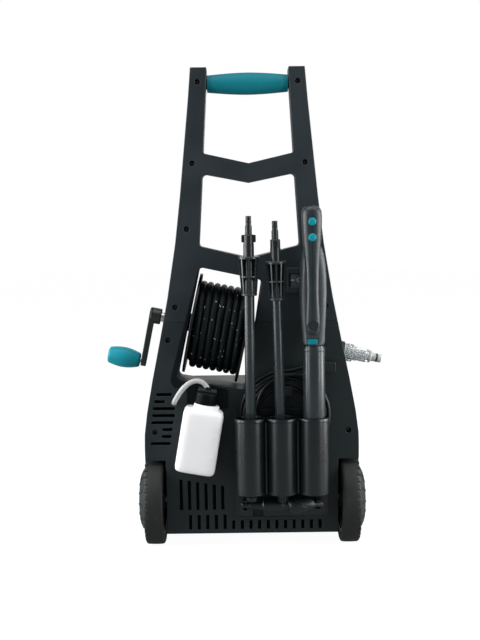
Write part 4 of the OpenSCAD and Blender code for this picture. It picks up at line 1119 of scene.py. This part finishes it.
def build_bottle(context):
    """The blow-moulded bottle, its ribbed cap and the suction tube."""
    rings = []
    levels = [(-59, 0.80, 5.0), (-58.6, 0.90, 5.0), (-57, 0.955, 5.2), (-54, 0.985, 5.4), (-49, 1.0, 5.6),
              (-44, 1.0, 5.6), (-10, 1.0, 5.6), (20, 1.0, 5.6), (40, 1.0, 5.6), (47, 0.994, 5.4),
              (51.5, 0.975, 5.2), (54.6, 0.94, 4.9), (56.6, 0.89, 4.5), (57.6, 0.83, 4.2)]
    for z, f, power in levels:
        rings.append(oval(36.5 * f, 28 * (f if f > 0.93 else f * 1.01), z, n=72, power=power))
    for z, rx, ry, cx in ((58.0, 26.6, 23.2, 2.4), (58.5, 24.6, 22.9, 3), (59.6, 23.6, 22.8, 3),
                          (65.0, 22.9, 22.8, 3),
                          (66.0, 22.2, 22.2, 2.4), (66.3, 17.6, 17.6, 0.6), (66.6, 15.6, 15.6, 0),
                          (84, 15.6, 15.6, 0)):
        rings.append(oval(rx, ry, z, cx, n=72))
    rings.append(oval(13.9, 13.9, 84, n=72))
    rings.append(oval(13.9, 13.9, 62, n=72))
    inner = [oval(16, 16, 57, n=72), oval(26, 20.5, 53.5, n=72, power=3),
             oval(34.4, 26.0, 47, n=72, power=4.6),
             oval(34.7, 26.2, 36, n=72, power=5.4), oval(34.7, 26.2, -54, n=72, power=5.4),
             oval(30, 22, -57, n=72, power=4.6)]
    bm = lofted(rings + inner)
    piece("bottle_wall", bm, BOTTLE_PLACE, milky_bottle(), "detergent_bottle", ["bottle"],
          sharp=60)
    liquid_marks()
    cap_recess_shade()
    shell = turned([(16.6, 66.6), (19.6, 66.6), (20, 67.4), (19.9, 84), (19.2, 87.0), (17.2, 88.6),
                    (6.0, 88.9),
                    (6.0, 96.4), (5.2, 97.6), (2, 97.6), (2, 85.2), (16.6, 85.2)], 72)
    rib = sector([(19.6, 69), (20.7, 69.6), (20.6, 84), (19.2, 86.2), (18.6, 70)], 2.2, 0.5)
    ribs = repeated(rib, 36, look("cap"), turn=(0, 0, 10))
    dip = turned([(1.8, -48), (3.2, -48), (3.2, 86), (1.8, 86)], 24)
    piece("bottle_cap_ribbed", joined(shell, ribs, dip), BOTTLE_PLACE, look("cap"), "chassis",
          ["bottle_cap"], sharp=40)
    route = [(-141, -246, 275), (-141, -254, 274.8), (-141, -263, 275.6), (-138.5, -273, 281.6),
             (-131, -279.4, 294),
             (-121.6, -281, 306), (-110, -281, 315), (-97, -281, 318), (-85.4, -281, 313.4),
             (-79, -281, 303),
             (-78, -281, 297)]
    points = [p * MM for p in smooth_line(route, 6)]
    diameter = context.scene.washer_sizes.tube_d
    tube = closed_curve("suction_tube_vinyl", points, diameter, look("tube"), "chassis")
    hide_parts("suction_tube")


def cap_recess_shade():
    """A black plate behind the bottle's cap, with a thin raised border: painted shade of the recess round
    the cap.
    """
    outline = rounded([(-118, 262), (-42, 262), (-42, 297), (-110, 311), (-118, 305)], 4)
    plate = prism(outline, -251.2, -249.6)
    inner = [(x * 0.95 - 4.0, z * 0.95 + 14.2) for x, z in outline]
    border = frame_rim(outline, inner, -252.0, -250.8)
    piece("bottle_seat_plate", joined(plate, border), None, look("plate"), "chassis", bevel=0.3)


def liquid_marks():
    """Raised level lines down one side of the bottle."""
    bar = prism(rounded([(-5, -0.4), (5, -0.4), (5, 0.4), (-5, 0.4)], 0.35, 3), -28.35, -27.6)
    bars = repeated(bar, 6, milky_bottle(), step=(0, 0, 13))
    bars.transform(Matrix.Translation((24, 0, -38)))
    piece("bottle_level_lines", bars, BOTTLE_PLACE, milky_bottle(), "detergent_bottle")


# Accessory holder and what stands in it --------------------------------------------------------------

def build_holder(context):
    """The three-cup holder with its rolled rims, webs and backing plate."""
    moulding("holder_moulding", ["accessory_holder"], look("holder"), "chassis", bevel=0.9)
    parts = []
    for i in range(3):
        x = -3.5 + 57.2 * i
        rim = turned([(24.6, 251.4), (26.2, 252.6), (27.6, 252.2), (28.1, 250.6), (28.1, 247.4),
                      (27.2, 246.4),
                      (26.0, 246.4)], 72)
        rim.transform(Matrix.Translation((x, -300, 0)))
        foot = turned([(26.4, 117.5), (27.35, 118), (27.35, 121), (26.4, 121.5)], 72)
        foot.transform(Matrix.Translation((x, -300, 0)))
        parts += [rim, foot]
    outer = rounded([(-31.5, 58), (138.5, 58), (138.5, 262), (-31.5, 262)], 12, 8)
    inner = rounded([(-29.1, 60.4), (136.1, 60.4), (136.1, 259.6), (-29.1, 259.6)], 10, 8)
    parts.append(frame_rim(outer, inner, -258.2, -255.5))
    piece("holder_rims", joined(*parts), None, look("holder"), "chassis", sharp=40)


def frame_rim(outer, inner, y0, y1):
    """A flat ring between two outlines with as many corners, from y0 to y1."""
    bm = bmesh.new()
    loops = [[bm.verts.new((x, y, z)) for x, z in line] for line, y in
             ((outer, y0), (inner, y0), (inner, y1), (outer, y1))]
    n = len(outer)
    for low, high in zip(loops, loops[1:] + loops[:1]):
        for k in range(n):
            j = (k + 1) % n
            bm.faces.new((low[k], low[j], high[j], high[k]))
    return bm


def coupler(top, place, word, body, count):
    """A lance's bayonet coupler: an open cage of ribs between three rings, a neck, two ears and a seal."""
    low = top - 141
    core = turned([(9.4, low + 1.2), (11.8, low + 0.8), (12.2, low + 2), (12.2, low + 25), (9.9, low + 29),
                   (9.4, top - 50), (8.9, top - 47), (8.9, top - 34), (8.2, top - 33), (6.3, top - 32.4),
                   (6.1, top - 31), (6.1, top - 18), (5.0, top - 16), (5.0, top - 11.5), (4.2, top - 11),
                   (4.2, top - 8.5), (5.0, top - 8), (5.0, top - 0.8), (4.4, top), (2.5, top),
                   (2.5, low + 20),
                   (9.4, low + 20)], 64)
    rings = [turned([(9.8, low), (13.4, low), (14.0, low + 0.8), (14.1, low + 3.4), (13.5, low + 4.1),
                     (9.8, low + 4.1)], 64),
             turned([(8.6, low + 31.8), (16.2, low + 31.8), (16.6, low + 32.4), (16.6, low + 34.6),
                     (16.2, low + 35.2),
                     (8.6, low + 35.2)], 64),
             turned([(8.4, low + 64.6), (18.3, low + 64.6), (18.85, low + 65.4), (18.85, low + 68.4),
                     (18.2, low + 69.3),
                     (8.4, low + 69.3)], 64)]
    rib = sector([(8.6, low + 2), (13.9, low + 2), (18.7, low + 66), (8.6, low + 66)], 3.9)
    ribs = repeated(rib, count, look("cage"), turn=(0, 0, 360 / count))
    ears = prism(rounded([(-12.8, top - 46.6), (12.8, top - 46.6), (12.8, top - 33.2),
                          (-12.8, top - 33.2)], 2.0), -4, 4)
    if count > 8:
        ears.transform(Matrix.Rotation(math.pi / 2, 4, "Z"))
    seal = turned([(4.1, top - 11.2), (5.05, top - 10.8), (5.25, top - 9.8), (5.05, top - 8.8),
                   (4.1, top - 8.4)], 40)
    piece("lance_coupler_" + word, joined(core, ears), place, look("lance"), body,
          ["lance_%s_coupler" % word], sharp=34)
    piece("lance_cage_" + word, joined(ribs, *rings), place, look("cage"), body, sharp=34,
          bevel=0.25)
    piece("lance_seal_" + word, seal, place, look("seal"), body, sharp=60)


def build_lances(context):
    """Both lances: couplers, polished tubes and spray heads."""
    coupler(498, LANCE_A_PLACE, "a", "lance_a", 8)
    coupler(489, LANCE_B_PLACE, "b", "lance_b", 12)
    for word, place, top in (("a", LANCE_A_PLACE, 498), ("b", LANCE_B_PLACE, 489)):
        tube = turned([(5, 62.2), (8.9, 62.2), (9.3, 63), (9.3, top - 124), (8.9, top - 121.4),
                       (5, top - 121.4)], 64)
        piece("lance_tube_" + word, tube, place, look("gloss"), "lance_" + word,
              ["lance_%s_tube" % word], sharp=40)
    head = turned([(2, -13.2), (7.4, -14), (9.8, -13.4), (10.5, -12), (10.5, -6.4), (9.8, -5.6),
                   (8.5, -5.1),
                   (8.5, 4), (12.6, 4.2), (13.6, 6.4), (14, 13), (13.4, 34), (12.7, 55), (11.6, 60.6),
                   (10.4, 62),
                   (2, 62)], 64)
    piece("lance_head_a", head, LANCE_A_PLACE, look("lance"), "lance_a", ["lance_a_nozzle"],
          sharp=34)
    cone = turned([(2, -15), (6.6, -16), (7.2, -15.4), (8.5, -2), (8.5, 4), (11.8, 4.2), (13, 6.6),
                   (13.5, 11),
                   (13.0, 34), (12.6, 51), (11.4, 59), (10.4, 62), (2, 62)], 64)
    rib = sector([(6, -15), (8.6, -14.6), (9.5, -9), (9.5, -3), (6, -3)], 4.6, 0.6)
    ribs = repeated(rib, 12, look("lance"), turn=(0, 0, 30))
    piece("lance_jet_b", joined(cone, ribs), LANCE_B_PLACE, look("lance"), "jet_b",
          ["lance_b_nozzle"],
          sharp=34)


def half_shell(sections, side, gap=0.2):
    """One half of a moulding that is split on the plane X = 0: sections [(z, half width, y0, y1, power)]."""
    rings = []
    n = 26
    for z, rx, y0, y1, power in sections:
        ring = []
        cy, ry = (y0 + y1) / 2, (y1 - y0) / 2
        for k in range(n + 1):
            a = -math.pi / 2 + math.pi * k / n
            c, s = max(0.0, math.cos(a)), math.sin(a)
            f = (c ** power + abs(s) ** power) ** (-1 / power)
            ring.append(Vector((side * max(gap, rx * c * f), cy + ry * s * f, z)))
        rings.append(ring)
    return lofted(rings)


def pocketed(bm, low, high):
    """The mesh with a box-shaped pocket cut out of it, from corner low to corner high."""
    meshes = []
    objects = []
    outline = [(low[0], low[2]), (high[0], low[2]), (high[0], high[2]), (low[0], high[2])]
    for word, source in (("body", bm), ("cutter", prism(outline, low[1], high[1]))):
        mesh = bpy.data.meshes.new("pocket_" + word)
        source.to_mesh(mesh)
        source.free()
        meshes.append(mesh)
        objects.append(bpy.data.objects.new("pocket_" + word, mesh))
        bpy.context.scene.collection.objects.link(objects[-1])
    cut = objects[0].modifiers.new("pocket", "BOOLEAN")
    cut.operation = "DIFFERENCE"
    cut.solver = "EXACT"
    cut.object = objects[1]
    bpy.context.view_layer.update()
    result = bpy.data.meshes.new_from_object(objects[0].evaluated_get(bpy.context.evaluated_depsgraph_get()))
    out = bmesh.new()
    out.from_mesh(result)
    for item in objects:
        bpy.data.objects.remove(item)
    for mesh in meshes + [result]:
        bpy.data.meshes.remove(mesh)
    return out


def build_gun(context):
    """The trigger gun: two-part spine, case (paler as a painted highlight), barrel, trigger, latch, port and
    caps.
    """
    spine = [(402.6, 4, -326, -313, 2.2), (403.6, 7.4, -329.6, -309.4, 2.5), (406, 10.2, -331.6, -307, 2.9),
             (411, 12.0, -332.8, -306, 3.2), (420, 12.6, -333, -306, 3.3), (434, 12.6, -333, -306, 3.3),
             (456, 11.6, -333, -306, 3.2), (478, 11.0, -332.8, -306, 3.0), (500, 11.4, -332.6, -306, 3.0),
             (522, 12.3, -332.4, -303, 2.9), (545, 14.2, -332.2, -298, 2.8), (570, 16.6, -332.2, -294, 2.8),
             (595, 17.8, -332.2, -292.6, 2.8), (612, 18.0, -332, -293, 2.8), (620, 17.2, -331.2, -294, 2.7),
             (625, 14.8, -329.4, -296, 2.5), (628.4, 10.6, -326, -299, 2.2), (629.6, 5.0, -320, -306, 2.0)]
    case = [(381.4, 15.0, -313, -280, 2.4), (383, 18.0, -316, -274.6, 2.8), (386, 19.6, -315, -272, 3.4),
            (392, 20.1, -312.6, -270.2, 4.2), (408, 20.5, -312, -270, 4.4), (440, 22.6, -312, -270, 4.2),
            (476, 24.0, -312, -270, 4.2),
            (505, 23.7, -312, -270, 4.0), (525, 22.4, -311.6, -270.6, 3.6), (543, 19.8, -311, -272, 3.2),
            (554, 16.4, -310, -275, 3.0), (562, 11, -308, -279, 2.6)]
    for side, word in ((-1, "left"), (1, "right")):
        piece("gun_spine_" + word, half_shell(spine, side), GUN_PLACE, look("gun"), "gun",
              ["gun_shell_" + word], sharp=60)
        # The case halves take the paler finish, a painted highlight.
        shell = pocketed(half_shell(case, side), (-13.2, -319, 384.6), (7.2, -306.4, 395.4))
        piece("gun_case_" + word, shell, BARREL_PLACE, look("case"), "gun", sharp=60)
    barrel = turned([(3, 119.4), (9, 119.2), (16.4, 119), (18.4, 121), (20, 127), (20, 370), (19.6, 377),
                     (18.6, 381.4),
                     (3, 381.4)], 72)
    collar = turned([(18.6, 371.4), (20.3, 371.8), (20.5, 372.8), (20.5, 377), (20.1, 378.2),
                     (18.6, 378.6)], 72)
    piece("gun_barrel_sleeve", joined(barrel, collar), Matrix.Translation((0.112, -0.300, 0)),
          look("gloss"), "gun",
          ["gun_barrel"], sharp=36)
    port = turned([(8.2, 0), (10.6, 0), (11.1, -0.8), (10.9, -1.8), (9.6, -2.2), (8.4, -1.4)], 56)
    port.transform(Matrix.Translation((0, -332.6, 418)) @ Matrix.Rotation(-math.pi / 2, 4, "X"))
    throat = turned([(5, -0.6), (8.0, -0.6), (8.5, 1), (8.5, 6), (5, 6)], 48)
    throat.transform(Matrix.Translation((0, -333.8, 418)) @ Matrix.Rotation(-math.pi / 2, 4, "X"))
    piece("gun_port_ring", port, GUN_PLACE, look("lance"), "gun", sharp=40)
    piece("gun_port_throat", throat, GUN_PLACE, look("dark"), "gun", sharp=40)
    cap = turned([(0, 1.9), (4.6, 1.7), (6.4, 1.0), (6.9, 0.2), (6.9, -1.4), (0, -1.4)], 40)
    cap.transform(Matrix.Rotation(math.pi / 2, 4, "X"))
    caps = scattered(cap, [(0, -332.4, 574), (0, -332.4, 601.5)], look("teal"))
    piece("gun_cap_pair", caps, GUN_PLACE, look("teal"), "gun", ["gun_caps"], sharp=40)
    tab = prism(rounded([(-9, 385.4), (9, 385.4), (9, 394.6), (-9, 394.6)], 1.6), -317, -310)
    lips = repeated(prism([(-7.2, 387.4), (7.2, 387.4), (7.2, 388.3), (-7.2, 388.3)], -317.6, -316.6), 3,
                    look("teal"), step=(0, 0, 2.3))
    piece("gun_latch_tab", joined(tab, lips), GUN_PLACE, look("teal"), "latch",
          ["gun_latch"], sharp=40, bevel=0.35)
    moulding("gun_trigger_lever", ["gun_trigger"], look("lance"), "trigger", bevel=1.4)
    dress(frame["nodes"]["gun_valve"], look("dark"))


def build_spare(context):
    """The spare turbo nozzle across the bottom of the holder, with three swirl ribs on its bulb."""
    outline = [(4, 0.2), (6.4, 0), (7, 0.8), (7, 4), (6.4, 4.4), (6.4, 6.4), (7, 6.8), (7, 13.6), (9, 15),
               (9, 38),
               (10.8, 40), (11.3, 56), (11.5, 71), (10.8, 74.6), (9.8, 76), (9.8, 84), (12.4, 85.4),
               (15.2, 88.6),
               (16.6, 93), (17, 98.5), (16.5, 104), (15.2, 110), (13.2, 117.5), (10.8, 125), (8.6, 131),
               (6.6, 133.4),
               (6, 134.4), (6, 147.8), (5.2, 149), (0, 149), (0, 30), (4, 30)]
    body = turned(outline, 72)
    ribs = []
    for k in range(3):
        line = []
        for i in range(15):
            z = 89 + 37 * i / 14
            r = 16.9 - 0.05 * max(0, z - 99) ** 1.55 if z > 99 else 16.9 - 0.012 * (99 - z) ** 2
            a = 2 * math.pi * k / 3 + 0.9 * i / 14
            line.append((r * math.cos(a), r * math.sin(a), z))
        ribs.append(swept(line, lambda s: 0.5 + 1.1 * math.sin(math.pi * s), 10))
    fine = repeated(sector([(8.6, 17), (9.5, 17.6), (9.5, 35.4), (8.6, 36)], 4.5, 1.0), 16, look("lance"),
                    turn=(0, 0, 22.5))
    piece("spare_turbo_nozzle", joined(body, fine, *ribs), SPARE_PLACE, look("lance"), "spare",
          ["spare_nozzle"], sharp=36)


# Switch and water inlet --------------------------------------------------------------------------------

def build_switch(context):
    """The mains switch: bezel, rocker and its plain off and on marks."""
    moulding("switch_bezel", ["switch_housing"], look("switch"), "chassis", bevel=0.8)
    outer = rounded([(67.3, 473.3), (98.7, 473.3), (98.7, 518.7), (67.3, 518.7)], 3, 6)
    inner = rounded([(70.4, 483.4), (95.6, 483.4), (95.6, 508.6), (70.4, 508.6)], 2, 6)
    piece("switch_surround", frame_rim(outer, inner, -254.0, -252.6), None, look("switch"), "chassis",
          bevel=0.7)
    moulding("switch_rocker_key", ["switch_rocker"], look("rocker"), "rocker", bevel=0.7)
    ring = turned([(2.6, 0), (2.6, 0.5), (3.5, 0.5), (3.5, 0)], 40)
    ring.transform(Matrix.Translation((88.8, -252.05, 496.5)) @ Matrix.Rotation(math.radians(8.1), 4, "Z")
                   @ Matrix.Rotation(math.pi / 2, 4, "X"))
    bar = prism(rounded([(74.2, 495.8), (80.4, 495.8), (80.4, 497.2), (74.2, 497.2)], 0.5, 2), -254.5,
                -253.2)
    piece("switch_marks", joined(ring, bar), None, look("mark"), "rocker")


def build_inlet(context):
    """The water inlet: adapter, clear filter with its gauze, seal and pale coupler."""
    dress(frame["nodes"]["inlet_adapter"], look("coupler"))
    wall = turned([(11.8, 9.2), (15.2, 9.2), (16, 10), (16, 22), (15.2, 23), (13.2, 23.4), (12.6, 24),
                   (12.5, 25.6),
                   (13.3, 26.2), (13.5, 27.4), (13.3, 28.8), (12.5, 29.4), (12.5, 49.4), (11.6, 51.6),
                   (6, 51.8),
                   (6, 48.4), (10, 48), (10, 16), (11.8, 15.6)], 64)
    rib = sector([(15.6, 10.2), (16.5, 10.8), (16.5, 21.4), (15.6, 22)], 4.0, 1.0)
    ribs = repeated(rib, 18, clear_plastic(), turn=(0, 0, 20))
    piece("filter_wall", joined(wall, ribs), INLET_PLACE, clear_plastic(), "chassis",
          ["inlet_filter"],
          sharp=36)
    bars = repeated(swept([(7.4, 0, 17), (7.4, 0, 47)], 0.22, 5), 36, look("mesh"), turn=(0, 0, 10))
    hoops = repeated(turned([(7.2, 0), (7.6, 0.2), (7.2, 0.4)], 40), 15, look("mesh"), step=(0, 0, 2.1))
    hoops.transform(Matrix.Translation((0, 0, 17)))
    cage = turned([(6.8, 45.6), (8.4, 45.6), (8.4, 48), (6.8, 48)], 40)
    piece("filter_gauze", joined(bars, hoops, cage), INLET_PLACE, look("mesh"), "chassis",
          sharp=60)
    nose = turned([(4.5, 52.2), (10.4, 52.2), (11, 52.8), (11, 56.4), (10.2, 57.2), (8.6, 57.8), (8, 58.6),
                   (8, 66),
                   (6.9, 66.5), (6.9, 69.5), (8, 70), (8, 75.6), (7.2, 77), (4.5, 77)], 56)
    piece("coupler_nose", nose, INLET_PLACE, look("coupler"), "chassis", ["inlet_coupler"],
          sharp=36)
    ring = turned([(6.8, 66.7), (7.9, 66.9), (8.35, 68), (7.9, 69.1), (6.8, 69.3)], 48)
    piece("coupler_seal", ring, INLET_PLACE, look("seal"), "chassis", sharp=60)
    ribs = repeated(sector([(10.7, 52.8), (11.5, 53.2), (11.5, 56.2), (10.7, 56.6)], 5, 1), 14,
                    look("coupler"),
                    turn=(0, 0, 360 / 14))
    piece("coupler_ribs", ribs, INLET_PLACE, look("coupler"), "chassis", sharp=36)


# Inside ------------------------------------------------------------------------------------------------

def build_inside(context):
    """Motor, pump and hoses inside the body keep their CAD shapes under real finishes."""
    nodes = frame["nodes"]
    for name, finish in (("motor_can", "steel"), ("motor_stator", "winding"), ("motor_rotor", "iron"),
                         ("motor_fan", "fan"), ("swash_plate", "steel"), ("pump_body", "alloy"),
                         ("pump_pistons", "steel"), ("pump_head", "brass"), ("water_hoses", "cord")):
        dress(nodes[name], look(finish))
    fin = sector([(39, 240), (43.5, 241), (43.5, 298), (39, 300)], 2.0, 0.4)
    fins = repeated(fin, 20, look("alloy"), turn=(0, 0, 18))
    piece("pump_cooling_fins", fins, MOTOR_PLACE, look("alloy"), "chassis")


# Operators, panel and registration -------------------------------------------------------------------

class WASHER_OT_stage(bpy.types.Operator):
    """Build the floor, the lights and the camera"""
    bl_idname = "washer.stage"
    bl_label = "Stage"

    def execute(self, context):
        build_stage(context)
        return {"FINISHED"}


class WASHER_OT_cord(bpy.types.Operator):
    """Build the power cord, its gland and its plug"""
    bl_idname = "washer.cord"
    bl_label = "Power cord"

    def execute(self, context):
        build_cord(context)
        return {"FINISHED"}


class WASHER_OT_reel(bpy.types.Operator):
    """Build the reel and the hose wound on it"""
    bl_idname = "washer.reel"
    bl_label = "Hose reel"

    def execute(self, context):
        build_reel(context)
        return {"FINISHED"}


class WASHER_OT_body(bpy.types.Operator):
    """Build the body and frame mouldings"""
    bl_idname = "washer.body"
    bl_label = "Body"

    def execute(self, context):
        build_body(context)
        return {"FINISHED"}


class WASHER_OT_screws(bpy.types.Operator):
    """Build the frame screws"""
    bl_idname = "washer.screws"
    bl_label = "Screws"

    def execute(self, context):
        build_screws(context)
        return {"FINISHED"}


class WASHER_OT_grip(bpy.types.Operator):
    """Build the handle grip"""
    bl_idname = "washer.grip"
    bl_label = "Handle grip"

    def execute(self, context):
        build_grip(context)
        return {"FINISHED"}


class WASHER_OT_wheels(bpy.types.Operator):
    """Build both wheels"""
    bl_idname = "washer.wheels"
    bl_label = "Wheels"

    def execute(self, context):
        build_wheels(context)
        return {"FINISHED"}


class WASHER_OT_crank(bpy.types.Operator):
    """Build the reel's crank"""
    bl_idname = "washer.crank"
    bl_label = "Crank"

    def execute(self, context):
        build_crank(context)
        return {"FINISHED"}


class WASHER_OT_bottle(bpy.types.Operator):
    """Build the bottle, its cap and its tube"""
    bl_idname = "washer.bottle"
    bl_label = "Detergent bottle"

    def execute(self, context):
        build_bottle(context)
        return {"FINISHED"}


class WASHER_OT_holder(bpy.types.Operator):
    """Build the accessory holder"""
    bl_idname = "washer.holder"
    bl_label = "Accessory holder"

    def execute(self, context):
        build_holder(context)
        return {"FINISHED"}


class WASHER_OT_lances(bpy.types.Operator):
    """Build both lances"""
    bl_idname = "washer.lances"
    bl_label = "Lances"

    def execute(self, context):
        build_lances(context)
        return {"FINISHED"}


class WASHER_OT_gun(bpy.types.Operator):
    """Build the trigger gun"""
    bl_idname = "washer.gun"
    bl_label = "Trigger gun"

    def execute(self, context):
        build_gun(context)
        return {"FINISHED"}


class WASHER_OT_spare(bpy.types.Operator):
    """Build the spare nozzle"""
    bl_idname = "washer.spare"
    bl_label = "Spare nozzle"

    def execute(self, context):
        build_spare(context)
        return {"FINISHED"}


class WASHER_OT_switch(bpy.types.Operator):
    """Build the mains switch"""
    bl_idname = "washer.switch"
    bl_label = "Switch"

    def execute(self, context):
        build_switch(context)
        return {"FINISHED"}


class WASHER_OT_inlet(bpy.types.Operator):
    """Build the water inlet"""
    bl_idname = "washer.inlet"
    bl_label = "Water inlet"

    def execute(self, context):
        build_inlet(context)
        return {"FINISHED"}


class WASHER_OT_inside(bpy.types.Operator):
    """Finish the motor, the pump and the inner hoses"""
    bl_idname = "washer.inside"
    bl_label = "Motor and pump"

    def execute(self, context):
        build_inside(context)
        return {"FINISHED"}


class WASHER_PT_panel(bpy.types.Panel):
    """Settings and pieces of the washer"""
    bl_label = "Pressure washer"
    bl_idname = "WASHER_PT_panel"
    bl_space_type = "VIEW_3D"
    bl_region_type = "UI"
    bl_category = "Washer"

    def draw(self, context):
        for group in (context.scene.washer_finish, context.scene.washer_stage, context.scene.washer_sizes):
            box = self.layout.box()
            for key in group.__annotations__:
                box.prop(group, key)
        for operator in OPERATORS:
            self.layout.operator(operator.bl_idname)


SETTINGS = (("washer_finish", WasherFinish), ("washer_stage", WasherStage), ("washer_sizes", WasherSizes))
OPERATORS = (WASHER_OT_stage, WASHER_OT_cord, WASHER_OT_reel, WASHER_OT_body,
             WASHER_OT_screws, WASHER_OT_grip, WASHER_OT_wheels, WASHER_OT_crank,
             WASHER_OT_bottle, WASHER_OT_holder, WASHER_OT_lances, WASHER_OT_gun,
             WASHER_OT_spare, WASHER_OT_switch, WASHER_OT_inlet, WASHER_OT_inside)


def register():
    for name, group in SETTINGS:
        bpy.utils.register_class(group)
        setattr(bpy.types.Scene, name, bpy.props.PointerProperty(type=group))
    for operator in OPERATORS:
        bpy.utils.register_class(operator)
    bpy.utils.register_class(WASHER_PT_panel)


def unregister():
    bpy.utils.unregister_class(WASHER_PT_panel)
    for operator in reversed(OPERATORS):
        bpy.utils.unregister_class(operator)
    for name, group in reversed(SETTINGS):
        delattr(bpy.types.Scene, name)
        bpy.utils.unregister_class(group)


def main():
    register()
    bpy.ops.washer.stage()
    bpy.ops.washer.cord()
    bpy.ops.washer.reel()
    bpy.ops.washer.body()
    bpy.ops.washer.screws()
    bpy.ops.washer.grip()
    bpy.ops.washer.wheels()
    bpy.ops.washer.crank()
    bpy.ops.washer.bottle()
    bpy.ops.washer.holder()
    bpy.ops.washer.lances()
    bpy.ops.washer.gun()
    bpy.ops.washer.spare()
    bpy.ops.washer.switch()
    bpy.ops.washer.inlet()
    bpy.ops.washer.inside()


if __name__ == "__main__":
    main()
